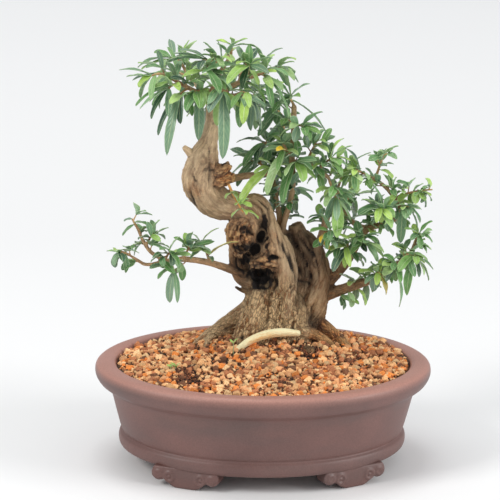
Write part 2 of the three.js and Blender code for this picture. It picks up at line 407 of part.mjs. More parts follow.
function soil(holes) {
  const length = 2 * POT.halfLength;
  const width = length * POT.squash;
  const cells = [length, width].map((span) => Math.round(span / GRAIN.cell));
  const block = new THREE.BoxGeometry(length, width, 2, ...cells, 1);
  const place = block.attributes.position;
  for (let i = 0; i < place.count; i++) {
    const x = place.getX(i);
    const y = place.getY(i);
    const shift = Math.abs(x) < length / 2 - 1 && Math.abs(y) < width / 2 - 1 ? GRAIN.shift : 0;
    if (place.getZ(i) > 0) {
      const u = x + shift * roughness(x, y);
      const v = y + shift * roughness(y, x);
      place.setXYZ(i, u, v, mound(u, v) + GRAIN.rise * roughness(x + 3, y));
    } else {
      place.setZ(i, 0);
    }
  }
  const r = POT.halfLength - GAP;
  const low = FLOOR_TOP + GAP;
  const filling = oval([
    [0, low], [r - 36, low], [r - 26, 31 + GAP], [r - 15.8, 74.5], [r - 15.8, SOIL.top], [0, SOIL.top],
  ]);
  const recess = SCREEN.size + 2 * GAP;
  const slot = solid(new THREE.BoxGeometry(recess, recess, 2 * (SCREEN.thickness + 2 * GAP)));
  const pockets = [-DRAIN.x, DRAIN.x].map((x) => slot.translate(x, 0, FLOOR_TOP));
  const body = solid(block).intersect(filling);
  return [...pockets, ...holes].reduce((left, hole) => left.subtract(hole), body);
}

// A leaf's arched middle surface: t runs from root to tip and across from edge to edge.
function leafSurface({ root, tip, width, bend, roll }) {
  const along = tip.clone().sub(root);
  const length = along.length();
  along.normalize();
  const level = new THREE.Vector3().crossVectors(along, UP);
  if (level.length() < 0.02) level.set(1, 0, 0);
  level.normalize();
  const face = new THREE.Vector3().crossVectors(level, along);
  const side = level.clone().multiplyScalar(Math.cos(roll)).addScaledVector(face, Math.sin(roll));
  const normal = face.clone().multiplyScalar(Math.cos(roll)).addScaledVector(level, -Math.sin(roll));
  const radius = length / (2 * Math.sin(bend / 2));
  return (t, across, above = 0) => {
    const angle = bend * (t - 0.5);
    const half = 0.5 * width * Math.sin(Math.PI * t ** 1.1) ** 0.75; // widest a little before the middle
    const height = radius * (Math.cos(angle) - Math.cos(bend / 2));
    const lift = above + BLADE.rise * half * Math.abs(across);
    return root.clone()
      .addScaledVector(along, length / 2 + radius * Math.sin(angle) + lift * Math.sin(angle))
      .addScaledVector(normal, height + lift * Math.cos(angle))
      .addScaledVector(side, half * across);
  };
}

// One blade: two edges and a midrib below them, pointed at both ends.
function blade(leaf) {
  const surface = leafSurface(leaf);
  const corners = [[-1, 0], [0, -BLADE.thickness], [1, 0], [-1, 0]];
  const form = new THREE.SphereGeometry(1, corners.length - 1, BLADE.stations.length - 1);
  const place = form.attributes.position;
  for (let i = 0; i < place.count; i++) {
    const t = BLADE.stations[Math.floor(i / corners.length)];
    const [across, above] = t % 1 ? corners[i % corners.length] : [0, 0];
    const spot = surface(t, across, above);
    place.setXYZ(i, spot.x, spot.y, spot.z);
  }
  return solid(form);
}

// The wood as a row of balls [x, y, z, radius], to keep leaves clear of it.
function woodBalls() {
  return WOOD.flatMap(({ rows }) => {
    const between = rows.slice(1).flatMap((next, i) =>
      [0, 0.25, 0.5, 0.75].map((share) => rows[i].map((value, n) => mix(value, next[n], share))));
    return [...between, rows[rows.length - 1]];
  });
}

// The twig of a shoot: its curve, and where the bough's stub ends and the shoot's own node begins.
function twigOf(shoot, balls) {
  const from = point(shoot.from);
  const to = point(shoot.to);
  const via = from.clone().add(to).multiplyScalar(0.5).addScaledVector(UP, shoot.bow);
  const path = new THREE.QuadraticBezierCurve3(from, via, to);
  const gap = (ball) => point(ball).distanceTo(from);
  const bough = balls.reduce((best, ball) => (gap(ball) < gap(best) ? ball : best));
  const length = from.distanceTo(to);
  const start = (bough[3] + TWIG.stub) / length;
  const joints = [0, start, (start + 1) / 2, 1];
  const spot = (t) => {
    const k = joints.findIndex((joint, n) => n > 0 && t <= joint);
    const share = (t - joints[k - 1]) / (joints[k] - joints[k - 1]);
    return path.getPoint(joints[k - 1]).lerp(path.getPoint(joints[k]), share);
  };
  return { path, spot, length, start };
}

// A leaf grows from inside its twig.
function sunk(root, tip) {
  return root.clone().addScaledVector(tip.clone().sub(root).normalize(), -TWIG.sink);
}

// The solid of a twig between two places along it.
function stretch(twig, first, last, parts) {
  const rows = Array.from({ length: parts + 1 }, (_, k) => {
    const t = mix(first, last, k / parts);
    const spot = twig.spot(t);
    return [spot.x, spot.y, spot.z, mix(TWIG.root, TWIG.tip, t)];
  });
  return limb({ rows, sides: TWIG.sides });
}

// Places on a leaf, in steps k from its root to its tip, that are kept clear of all else.
function samples(leaf) {
  const surface = leafSurface(leaf);
  const row = (k) => [-1, 0, 1].map((across) => ({ spot: surface(k / 6, across), k }));
  return [1, 2, 3, 4, 5, 6].flatMap(row);
}

function outside({ x, y, z }) {
  return Math.abs(x) > REACH.x || Math.abs(y) > REACH.y || z > REACH.z || z < REACH.low;
}

// Whether a leaf at these places would touch the wood, a twig or a leaf that is there already.
function blocked(spots, owner, balls, taken) {
  return spots.some(({ spot, k }) => {
    if (outside(spot)) return true;
    const inWood = ([x, y, z, radius, of]) =>
      of !== owner && Math.hypot(spot.x - x, spot.y - y, spot.z - z) < radius + CLEAR.wood;
    if (balls.some(inWood)) return true;
    return taken.some((other) => {
      const same = other.owner === owner;
      if (same && (k < 2 || other.k < 2)) return false;
      return other.spot.distanceTo(spot) < (same ? CLEAR.sameShoot : CLEAR.leaf);
    });
  });
}

// The first of a leaf's places that is free, or none.
function settle(places, owner, balls, taken) {
  for (const leaf of places) {
    const spots = samples(leaf);
    if (!blocked(spots, owner, balls, taken)) {
      spots.forEach((sample) => taken.push({ ...sample, owner }));
      return [leaf];
    }
  }
  return [];
}

// A leaf that was given its tip may shift a little in depth.
function ownPlaces([t, x, y, z, width], twig) {
  const root = twig.spot(THREE.MathUtils.clamp(t, twig.start + 1.4 / twig.length, TWIG.last));
  const shifts = [[0, 0], [-3, 0], [3, 0], [-6, 1], [6, 1], [-9, 2], [9, 2], [-12, 3], [12, 3]];
  return shifts.map(([dy, dz]) => {
    const tip = new THREE.Vector3(x, y + dy, z + dz);
    return { root: sunk(root, tip), tip, width, bend: LEAF.bend, roll: LEAF.roll };
  });
}

// Opposite leaves along the twig and a pair at its end, turned round the twig where a place is taken.
function pairPlaces(shoot, twig, k, hand, random) {
  const last = k === shoot.pairs;
  const first = Math.max(PAIRS.first, twig.start + 0.1);
  const t = last ? TWIG.last : mix(first, TWIG.last, (k + 0.5) / shoot.pairs);
  const [size, spread, turn, droop, tilt] = [random(), random(), random(), random(), random()];
  const ahead = twig.path.getTangent(t);
  const level = new THREE.Vector3().crossVectors(ahead, UP).normalize();
  const face = new THREE.Vector3().crossVectors(level, ahead);
  const root = twig.spot(t);
  return Array.from({ length: CLEAR.tries }, (_, n) => {
    const angle = (k % 2 ? 1.2 : 0.2) + turn - 0.5 + (n % 2 ? PAIRS.turn : -PAIRS.turn) * Math.ceil(n / 2);
    const open = (last ? PAIRS.openLast : PAIRS.open) + PAIRS.opening * spread;
    const out = hand * Math.sin(open);
    const way = ahead.clone().multiplyScalar(Math.cos(open))
      .addScaledVector(level, out * Math.cos(angle))
      .addScaledVector(face, out * Math.sin(angle));
    way.z -= shoot.sag * (0.5 + 0.6 * droop);
    const length = shoot.leaf * (0.8 + 0.4 * size) * (1 - PAIRS.shorter * n);
    const tip = root.clone().addScaledVector(way.normalize(), length);
    const width = (LEAF.narrow + LEAF.slim * length) * (0.85 + 0.3 * spread);
    return { root: sunk(root, tip), tip, width, bend: 0.3 + 0.8 * droop, roll: 1.2 * (tilt - 0.5) };
  });
}

// All shoots with their twigs and leaves: first the leaves with tips of their own, then the pairs.
function growShoots() {
  const balls = woodBalls();
  const shoots = SHOOTS.map((shoot) => ({ ...shoot, twig: twigOf(shoot, balls), leaves: [] }));
  shoots.forEach(({ twig }, owner) => {
    for (let k = 0; k <= 8; k++) {
      const spot = twig.path.getPoint(k / 8);
      balls.push([spot.x, spot.y, spot.z, TWIG.root, owner]);
    }
  });
  const taken = [];
  shoots.forEach(({ own = [], twig, leaves }, owner) => {
    own.forEach((leaf) => leaves.push(...settle(ownPlaces(leaf, twig), owner, balls, taken)));
  });
  shoots.filter((shoot) => shoot.pairs > 0).forEach((shoot) => {
    const owner = shoots.indexOf(shoot);
    const random = draws(owner + 11);
    for (let k = 0; k <= shoot.pairs; k++) {
      for (const hand of [1, -1]) {
        const places = pairPlaces(shoot, shoot.twig, k, hand, random);
        shoot.leaves.push(...settle(places, owner, balls, taken));
      }
    }
  });
  return shoots;
}

const shoots = growShoots();
const stubs = shoots.map(({ twig }) => stretch(twig, 0, twig.start, 1));
const solidWood = join(WOOD.map((part) => limb(part)));
const trunk = HOLLOWS.map(ellipsoid).reduce((body, hollow) => body.subtract(hollow), solidWood);
const rootHoles = WOOD.filter((part) => part.buried).map((part) => limb(part, GAP + 0.2));

const bonsai = new THREE.Group();
bonsai.add(piece('pot', pot(), COLOUR.pot, 0.55));
bonsai.add(piece('drain_screen_left', screen(-DRAIN.x), COLOUR.screen, 0.6));
bonsai.add(piece('drain_screen_right', screen(DRAIN.x), COLOUR.screen, 0.6));
bonsai.add(piece('soil', soil(rootHoles), COLOUR.soil, 0.95));
bonsai.add(piece('trunk', join([trunk, ...stubs]), COLOUR.wood, 0.85));
for (const { name, twig, leaves } of shoots) {
  const young = stretch(twig, twig.start + GAP / twig.length, 1, 2);
  bonsai.add(piece(name, join([young, ...leaves.map(blade)]), COLOUR.leaf, 0.45));
}

export default bonsai;
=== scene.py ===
import math

import bpy
import numpy as np
from mathutils import Matrix, Vector, noise


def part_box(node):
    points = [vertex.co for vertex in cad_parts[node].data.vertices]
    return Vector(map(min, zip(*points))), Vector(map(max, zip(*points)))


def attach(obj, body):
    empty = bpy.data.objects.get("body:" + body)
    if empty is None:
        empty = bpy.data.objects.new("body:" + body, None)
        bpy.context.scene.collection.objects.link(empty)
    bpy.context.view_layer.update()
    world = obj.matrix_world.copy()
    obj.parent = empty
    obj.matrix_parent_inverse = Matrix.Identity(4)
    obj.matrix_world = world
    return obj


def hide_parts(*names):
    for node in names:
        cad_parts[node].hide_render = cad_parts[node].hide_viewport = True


# A pomegranate bonsai in its oval clay pot. Lists of places are in millimetres, Blender works in metres.
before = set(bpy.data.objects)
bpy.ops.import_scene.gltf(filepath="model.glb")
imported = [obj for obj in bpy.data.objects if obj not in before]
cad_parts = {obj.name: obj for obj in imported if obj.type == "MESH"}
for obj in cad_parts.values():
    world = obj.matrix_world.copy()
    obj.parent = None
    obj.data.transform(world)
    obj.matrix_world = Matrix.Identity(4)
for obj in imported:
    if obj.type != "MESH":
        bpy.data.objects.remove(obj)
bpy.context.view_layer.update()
mm = 0.001
print("frame loaded,", len(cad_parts), "nodes")


def deselect():
    if bpy.context.object and bpy.context.object.mode != "OBJECT":
        bpy.ops.object.mode_set(mode="OBJECT")
    bpy.ops.object.select_all(action="DESELECT")


# Adds an object with one of Blender's own commands and gives it back.
def add(command, **settings):
    deselect()
    command(**settings)
    return bpy.context.object


def choose(*pieces):
    deselect()
    for piece in pieces:
        piece.select_set(True)
    bpy.context.view_layer.objects.active = pieces[0]
    return pieces[0]


def joinAll(name, pieces):
    piece = choose(*pieces)
    if len(pieces) > 1:
        bpy.ops.object.join()
    piece.name = name
    piece.data.name = name
    return piece


def settleInMesh(piece):
    choose(piece)
    bpy.ops.object.transform_apply(location=True, rotation=True, scale=True)
    return piece


def addModifier(piece, kind, **values):
    modifier = piece.modifiers.new(kind.lower(), kind)
    for key, value in values.items():
        setattr(modifier, key, value)
    choose(piece)
    bpy.ops.object.modifier_apply(modifier=modifier.name)
    return piece


def smoothShade(piece, degrees):
    choose(piece)
    bpy.ops.object.shade_smooth_by_angle(angle=math.radians(degrees))


def addMesh(name, places, faces, edges=()):
    mesh = bpy.data.meshes.new(name)
    mesh.from_pydata([tuple(mm * place) for place in places], edges, faces)
    piece = bpy.data.objects.new(name, mesh)
    bpy.context.scene.collection.objects.link(piece)
    return piece


# Lets a piece ride on the root and hides the nodes that it stands for. Its slot is not used.
def settle(piece, slot, *nodes):
    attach(piece, "root")
    if nodes:
        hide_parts(*nodes)


def coat(piece, material):
    piece.data.materials.clear()
    piece.data.materials.append(material)
    return piece


def placesOf(mesh):
    places = np.empty(len(mesh.vertices) * 3)
    mesh.vertices.foreach_get("co", places)
    return places.reshape(-1, 3)


def setPlaces(mesh, places):
    mesh.vertices.foreach_set("co", np.ascontiguousarray(places, dtype=np.float32).ravel())
    mesh.update()


def normalsOf(mesh):
    normals = np.empty(len(mesh.vertices) * 3)
    mesh.vertex_normals.foreach_get("vector", normals)
    return normals.reshape(-1, 3)


pointKinds = {"value": "FLOAT", "vector": "FLOAT_VECTOR", "color": "FLOAT_COLOR"}


# Keeps one number, direction or colour for each point, which the materials read.
def keepOnPoints(mesh, name, values, kind="value"):
    attribute = mesh.attributes.new(name, pointKinds[kind], "POINT")
    attribute.data.foreach_set(kind, np.ascontiguousarray(values, dtype=np.float32).ravel())


# The same seeded draws on every run, each from 0 to 1.
def makeDraws(seed):
    state = [seed]

    def draw():
        state[0] = (state[0] * 1664525 + 1013904223) % 4294967296
        return state[0] / 4294967296

    return draw


camera = {
    "eye": (-139.3, -1446.8, 530.5),
    "aim": (-11.7, 0.0, 162.6),
    "lens": 145.3,
    "sensor": 36,
    "roll": 1.0,  # degrees, right side of the frame low
}


def addCamera():
    eye, aim = Vector(camera["eye"]) * mm, Vector(camera["aim"]) * mm
    look = (aim - eye).to_track_quat("-Z", "Y").to_matrix()
    turned = look @ Matrix.Rotation(math.radians(camera["roll"]), 3, "Z")
    shot = add(bpy.ops.object.camera_add, location=eye, rotation=turned.to_euler())
    shot.data.lens = camera["lens"]
    shot.data.sensor_width = camera["sensor"]
    shot.data.clip_start = 0.05
    shot.data.clip_end = 50
    bpy.context.scene.camera = shot


lights = {  # place in metres, size, watts, colour
    "softbox left": ((-3.4, -1.8, 3.2), 1.4, 92, (1.0, 0.99, 0.97)),
    "softbox right": ((4.0, -1.8, 2.0), 2.0, 104, (1.0, 0.99, 0.98)),
    "softbox top": ((-0.4, 0.2, 4.2), 1.6, 40, (0.98, 0.99, 1.0)),
}
studio = {
    "aim": (0, 0, 0.15),
    "colour": (0.96, 0.98, 1.0),
    "strength": 0.62,
    "floor": 24,  # metres across
}


def addLights():
    for name, (place, size, watts, colour) in lights.items():
        lamp = add(bpy.ops.object.light_add, type="AREA", location=place)
        lamp.name = name
        lamp.data.size = size
        lamp.data.energy = watts
        lamp.data.color = colour
        lamp.rotation_euler = (Vector(studio["aim"]) - Vector(place)).to_track_quat("-Z", "Y").to_euler()
    world = bpy.data.worlds.new("studio")
    world.use_nodes = True
    shade = world.node_tree.nodes["Background"]
    shade.inputs["Color"].default_value = (*studio["colour"], 1)
    shade.inputs["Strength"].default_value = studio["strength"]
    bpy.context.scene.world = world
    bpy.context.scene.view_settings.view_transform = "Standard"


def addFloor():
    floor = coat(add(bpy.ops.mesh.primitive_plane_add, size=studio["floor"]), plainPaper())
    floor.name = "floor"


def newMaterial(name, roughness, specular=0.5):
    material = bpy.data.materials.new(name)
    material.use_nodes = True
    shader = material.node_tree.nodes["Principled BSDF"]
    shader.inputs["Roughness"].default_value = roughness
    shader.inputs["Specular IOR Level"].default_value = specular
    return material, material.node_tree, shader


# A new node with its settings. A socket named i0, i1 and so on is found by its number, any other by its name.
def addNode(tree, kind, settings=None, **sockets):
    node = tree.nodes.new(kind)
    for key, value in (settings or {}).items():
        setattr(node, key, value)
    for key, value in sockets.items():
        numbered = key[0] == "i" and key[1:].isdigit()
        socket = node.inputs[int(key[1:]) if numbered else key.replace("_", " ")]
        if isinstance(value, bpy.types.NodeSocket):
            tree.links.new(value, socket)
        else:
            socket.default_value = (*value, 1) if socket.type == "RGBA" else value
    return node


def ramp(tree, factor, stops):
    node = addNode(tree, "ShaderNodeValToRGB", Fac=factor)
    band = node.color_ramp
    while len(band.elements) < len(stops):
        band.elements.new(0.5)
    for element, (place, colour) in zip(band.elements, stops):
        element.position = place
        element.color = (*colour, 1)
    return node.outputs["Color"]


def maths(tree, operation, a, b=0.0):
    return addNode(tree, "ShaderNodeMath", {"operation": operation}, i0=a, i1=b).outputs[0]


def times(tree, a, b):
    return maths(tree, "MULTIPLY", a, b)


def plus(tree, a, b):
    return maths(tree, "ADD", a, b)


def grey(tree, value):
    return addNode(tree, "ShaderNodeCombineColor", i0=value, i1=value, i2=value).outputs[0]


def mapRange(tree, value, low, high, toLow=0.0, toHigh=1.0):
    return addNode(tree, "ShaderNodeMapRange", Value=value, From_Min=low, From_Max=high,
                   To_Min=toLow, To_Max=toHigh).outputs["Result"]


def blendColour(tree, factor, a, b, mode="MIX"):
    settings = {"data_type": "RGBA", "blend_type": mode}
    return addNode(tree, "ShaderNodeMix", settings, i0=factor, i6=a, i7=b).outputs[2]


def readAttribute(tree, name, output="Fac"):
    return addNode(tree, "ShaderNodeAttribute", {"attribute_name": name}).outputs[output]


def separate(tree, vector):
    return addNode(tree, "ShaderNodeSeparateXYZ", Vector=vector).outputs


def stretch(tree, vector, scale):
    return addNode(tree, "ShaderNodeMapping", Vector=vector, Scale=scale).outputs["Vector"]


def objectPlace(tree, scale=(1, 1, 1)):
    return stretch(tree, addNode(tree, "ShaderNodeTexCoord").outputs["Object"], scale)


def noiseTexture(tree, vector, scale, detail, rough=0.5, distortion=0.0, output="Fac"):
    return addNode(tree, "ShaderNodeTexNoise", Vector=vector, Scale=scale, Detail=detail, Roughness=rough,
                   Distortion=distortion).outputs[output]


# Ends a material: its colour, the height of its bumps with their strength and depth, and its roughness.
def wire(tree, shader, colour, bumps=None, roughness=None):
    tree.links.new(colour, shader.inputs["Base Color"])
    if bumps:
        height, strength, distance = bumps
        node = addNode(tree, "ShaderNodeBump", Height=height, Strength=strength, Distance=distance)
        tree.links.new(node.outputs["Normal"], shader.inputs["Normal"])
    if roughness:
        tree.links.new(roughness, shader.inputs["Roughness"])


patchSockets = {
    "INPUT": {"Vector": "Vector", "Scale": "Float", "Detail": "Float", "Dark": "Color", "Light": "Color"},
    "OUTPUT": {"Color": "Color", "Mask": "Float"},
}


# Soft patches of a lighter and a darker tone, used in all materials but that of the grains.
def patchGroup():
    group = bpy.data.node_groups.new("patches", "ShaderNodeTree")
    for way, kinds in patchSockets.items():
        for name, kind in kinds.items():
            group.interface.new_socket(name, in_out=way, socket_type="NodeSocket" + kind)
    given = group.nodes.new("NodeGroupInput").outputs
    end = group.nodes.new("NodeGroupOutput")
    cloud = noiseTexture(group, given["Vector"], given["Scale"], given["Detail"])
    mask = mapRange(group, cloud, 0.32, 0.68)
    group.links.new(blendColour(group, mask, given["Dark"], given["Light"]), end.inputs["Color"])
    group.links.new(mask, end.inputs["Mask"])
    return group


patches = patchGroup()


def addPatches(tree, vector, scale, dark, light, detail=3.0):
    return addNode(tree, "ShaderNodeGroup", {"node_tree": patches}, Vector=vector, Scale=scale, Detail=detail,
                   Dark=dark, Light=light).outputs


paper = {"near": (-0.35, 0.89), "middle": (0.7, 0.82), "far": (2.6, 0.97)}  # how pale it is that far back: painted light and shade that even out the lamps' light on the floor


def plainPaper():
    material, tree, shader = newMaterial("pale paper", 0.9)
    place = objectPlace(tree)
    back = separate(tree, place)["Y"]
    (nearBy, near), (midBy, middle), (farBy, far) = paper["near"], paper["middle"], paper["far"]
    # painted light and shade on the floor: paleness changes with distance back to even out the lamps' light
    level = mapRange(tree, back, nearBy, midBy, near, middle)
    level = plus(tree, level, mapRange(tree, back, midBy, farBy, 0.0, far - middle))
    patch = addPatches(tree, place, 0.5, (0.99, 0.99, 0.99), (1.0, 1.0, 1.0))["Color"]
    wire(tree, shader, blendColour(tree, 1.0, patch, grey(tree, level), "MULTIPLY"))
    return material


clay = {
    "wall": (0.128, 0.060, 0.051),
    "wallLight": (0.182, 0.087, 0.074),
    # painted highlight on the top of the lip
    "lip": (0.390, 0.190, 0.148),
    "stain": (0.100, 0.064, 0.058),
    "lipHeight": (0.066, 0.070),  # where the painted highlight on the lip sets in, in metres
}


def clayMaterial():
    material, tree, shader = newMaterial("unglazed clay", 0.52, 0.62)
    place = objectPlace(tree)
    wall = addPatches(tree, place, 22.0, clay["wall"], clay["wallLight"])
    smear = noiseTexture(tree, objectPlace(tree, (0.5, 0.5, 1.6)), 24.0, 5.0)
    colour = blendColour(tree, mapRange(tree, smear, 0.46, 0.72, 0.0, 0.7), wall["Color"], clay["stain"])
    # painted highlight: the top of the lip, where it faces up, is painted lighter
    facingUp = separate(tree, addNode(tree, "ShaderNodeNewGeometry").outputs["Normal"])["Z"]
    high = mapRange(tree, separate(tree, place)["Z"], *clay["lipHeight"])
    colour = blendColour(tree, times(tree, mapRange(tree, facingUp, -0.1, 0.75), high), colour, clay["lip"])
    speck = mapRange(tree, noiseTexture(tree, place, 900.0, 2.0), 0.35, 0.65, 0.9, 1.07)
    colour = blendColour(tree, 1.0, colour, grey(tree, speck), "MULTIPLY")
    grain, swell = noiseTexture(tree, place, 1400.0, 3.0, 0.6), noiseTexture(tree, place, 60.0, 2.0)
    height = plus(tree, times(tree, grain, 0.25), swell)
    wire(tree, shader, colour, (height, 0.25, 0.0004), mapRange(tree, wall["Mask"], 0, 1, 0.40, 0.54))
    return material


# Finishes of two tones: size and detail of their patches, size, detail and roughness of the bumps on them,
# and how strong and how high those bumps are.
mixes = {
    "dark humus": {"dark": (0.028, 0.016, 0.011), "light": (0.115, 0.062, 0.036), "roughness": 0.95,
                   "patches": (260, 5), "bumps": (700, 5, 0.7), "height": (0.9, 0.001)},
    "twig bark": {"dark": (0.260, 0.125, 0.055), "light": (0.620, 0.390, 0.180), "roughness": 0.6,
                  "patches": (120, 3), "bumps": (900, 3, 0.5), "height": (0.5, 0.0003)},
    "young twig bark": {"dark": (0.640, 0.270, 0.060), "light": (0.900, 0.500, 0.150), "roughness": 0.6,
                        "patches": (120, 3), "bumps": (900, 3, 0.5), "height": (0.5, 0.0003)},
}


def mixedMaterial(name):
    mix = mixes[name]
    material, tree, shader = newMaterial(name, mix["roughness"])
    place = objectPlace(tree)
    scale, detail = mix["patches"]
    tones = addPatches(tree, place, scale, mix["dark"], mix["light"], detail)
    wire(tree, shader, tones["Color"], (noiseTexture(tree, place, *mix["bumps"]), *mix["height"]))
    return material


def grainMaterial():
    material, tree, shader = newMaterial("baked grains", 0.9)
    place = objectPlace(tree)
    own = readAttribute(tree, "grainColour", "Color")
    speck = mapRange(tree, noiseTexture(tree, place, 1300.0, 4.0, 0.65), 0.3, 0.7, 0.62, 1.25)
    colour = blendColour(tree, 1.0, own, grey(tree, speck), "MULTIPLY")
    wire(tree, shader, colour, (noiseTexture(tree, place, 1100.0, 4.0, 0.7), 0.6, 0.0006))
    return material


def screenMaterial():
    material, tree, shader = newMaterial("black plastic screen", 0.55)
    tones = addPatches(tree, objectPlace(tree), 300.0, (0.012, 0.012, 0.013), (0.03, 0.03, 0.032))
    wire(tree, shader, tones["Color"], roughness=mapRange(tree, tones["Mask"], 0, 1, 0.45, 0.65))
    return material


bark = {
    "deep": (0.085, 0.042, 0.022),
    "brown": (0.290, 0.158, 0.082),
    "light": (0.560, 0.360, 0.210),
    "pale": (0.860, 0.640, 0.390),
    "grey": (0.500, 0.345, 0.205),
    "rust": (0.700, 0.290, 0.095),
    "rustDark": (0.170, 0.062, 0.026),
    "straw": (1.000, 0.710, 0.380),
    "strawDark": (0.440, 0.215, 0.085),
    # painted highlight on rusty wood
    "rustHighlight": (0.960, 0.560, 0.230),
    "bare": (1.000, 0.920, 0.580),
    "bareDark": (0.900, 0.540, 0.200),
    # dark of the cracks, also laid as painted shade in the furrows
    "crackAndShade": (0.026, 0.015, 0.010),
    # the darkest colour, laid as painted shade in recesses, hollows and clefts, and on some darker bark
    "hollow": (0.014, 0.009, 0.007),
}
# how fine each pattern of the bark is: more is finer
barkScales = {
    "wander": 330, "fibre": 900, "streak": 260, "broad": 75, "flakes": 540, "patches": 330, "crumb": 1500,
}


def barkMaterial():
    material, tree, shader = newMaterial("old bark", 0.82)
    place = objectPlace(tree)
    look = addNode(tree, "ShaderNodeSeparateColor", Color=readAttribute(tree, "look", "Color")).outputs
    pale, rust, straw = look[0], look[1], look[2]
    bare, dark = readAttribute(tree, "bare"), readAttribute(tree, "shade")
    relief, cavity = readAttribute(tree, "relief"), readAttribute(tree, "cavity")
    # patterns that run along the grain and wander a little
    wander = addNode(tree, "ShaderNodeVectorMath", {"operation": "SCALE"}, Scale=0.0022,
                     Vector=noiseTexture(tree, place, barkScales["wander"], 3.0, 0.6, output="Color"))
    grain = readAttribute(tree, "grain", "Vector")
    bent = addNode(tree, "ShaderNodeVectorMath", {"operation": "ADD"}, i0=grain, i1=wander.outputs["Vector"])
    bent = bent.outputs["Vector"]
    along = stretch(tree, bent, (1, 1, 0.1))
    fibre = noiseTexture(tree, along, barkScales["fibre"], 5.0, 0.7)
    streak = noiseTexture(tree, along, barkScales["streak"], 5.0, 0.65, 0.5)
    broad = noiseTexture(tree, place, barkScales["broad"], 4.0, 0.6)
    flakeAlong = stretch(tree, bent, (1, 1, 0.42))
    flake = addNode(tree, "ShaderNodeTexVoronoi", {"feature": "DISTANCE_TO_EDGE"}, Vector=flakeAlong,
                    Scale=barkScales["flakes"]).outputs["Distance"]
    flakeTone = addNode(tree, "ShaderNodeTexVoronoi", Vector=flakeAlong, Scale=barkScales["flakes"])
    tone = addNode(tree, "ShaderNodeSeparateColor", Color=flakeTone.outputs["Color"]).outputs[0]
    tone = plus(tree, times(tree, tone, 0.6), times(tree, broad, 0.5))
    # brown bark, then pale, rust and straw where the wood has them
    colour = addPatches(tree, along, barkScales["patches"], bark["deep"], bark["brown"], 5.0)["Color"]
    colour = blendColour(tree, mapRange(tree, streak, 0.40, 0.60), colour, bark["light"])
    paleTone = blendColour(tree, mapRange(tree, fibre, 0.38, 0.66), bark["pale"], bark["grey"])
    paleTone = blendColour(tree, mapRange(tree, broad, 0.52, 0.7, 0.0, 0.75), paleTone, bark["brown"])
    paleShare = times(tree, pale, mapRange(tree, streak, 0.3, 0.55, 0.6, 1.0))
    colour = blendColour(tree, paleShare, colour, paleTone)
    rustTone = blendColour(tree, mapRange(tree, tone, 0.3, 0.75), bark["rust"], bark["rustDark"])
    colour = blendColour(tree, rust, colour, rustTone)
    strawTone = blendColour(tree, mapRange(tree, tone, 0.28, 0.50), bark["strawDark"], bark["straw"])
    colour = blendColour(tree, straw, colour, strawTone)
    # cracks between the flakes, dark cracks and painted shade in the furrows, wear and painted highlight on
    # raised parts, and painted shade in recesses and hollows
    rough = maths(tree, "MAXIMUM", rust, straw)
    edge = times(tree, mapRange(tree, flake, 0.0, 0.16, 0.8, 0.0), rough)
    colour = blendColour(tree, edge, colour, bark["crackAndShade"])
    # dark cracks and painted shade in the furrows, darker the deeper the relief
    colour = blendColour(tree, mapRange(tree, relief, -1.15, -0.55, 0.92, 0.0), colour, bark["crackAndShade"])
    # wear and painted highlight: raised parts and lumps of the wood are painted lighter
    wornHighlight = blendColour(tree, rust, paleTone, bark["rustHighlight"])
    colour = blendColour(tree, mapRange(tree, relief, 0.15, 0.6, 0.0, 0.3), colour, wornHighlight)
    colour = blendColour(tree, mapRange(tree, cavity, -0.25, -1.3, 0.0, 0.55), colour, wornHighlight)
    # painted shade in recesses, darker where the wood lies further below its smoothed surface
    colour = blendColour(tree, mapRange(tree, cavity, 0.4, 2.4, 0.0, 0.95), colour, bark["hollow"])
    lines = mapRange(tree, fibre, 0.5, 0.62, 1.0, 0.55)
    lines = maths(tree, "MAXIMUM", lines, mapRange(tree, dark, 0.7, 0.85))
    # painted shade in hollows, clefts and grooves, and darker bark, from the shade attribute; fibres stay
    # paler at its edge
    colour = blendColour(tree, times(tree, dark, lines), colour, bark["hollow"])
    bareTone = blendColour(tree, mapRange(tree, streak, 0.44, 0.66), bark["bare"], bark["bareDark"])
    colour = blendColour(tree, bare, colour, bareTone)
    # fibres, lifted flakes and crumbs, all much lower on bare wood
    lift = times(tree, mapRange(tree, flake, 0.0, 0.25), rough)
    crumb = times(tree, noiseTexture(tree, place, barkScales["crumb"], 4.0, 0.6), 0.35)
    height = plus(tree, plus(tree, plus(tree, fibre, lift), crumb), times(tree, streak, 1.6))
    height = times(tree, height, mapRange(tree, bare, 0.0, 1.0, 1.0, 0.25))
    wire(tree, shader, colour, (height, 1.0, 0.0014), mapRange(tree, pale, 0, 1, 0.9, 0.62))
    return material


leafTones = {
    "dark": (0.028, 0.092, 0.056),
    "mid": (0.150, 0.345, 0.100),
    "lime": (0.430, 0.640, 0.130),
    "yellow": (1.000, 0.640, 0.015),
    "rib": (0.540, 0.660, 0.360),
    "under": (0.240, 0.400, 0.270),
    # painted sheen: a pale bluish gloss
    "paintedSheen": (0.420, 0.580, 0.450),
}
leafRamp = [(0.0, "dark"), (0.5, "mid"), (0.85, "lime"), (0.93, "lime"), (1.0, "yellow")]  # by a leaf's tint
leafVeins = {"count": 75.0, "slant": 0.16}


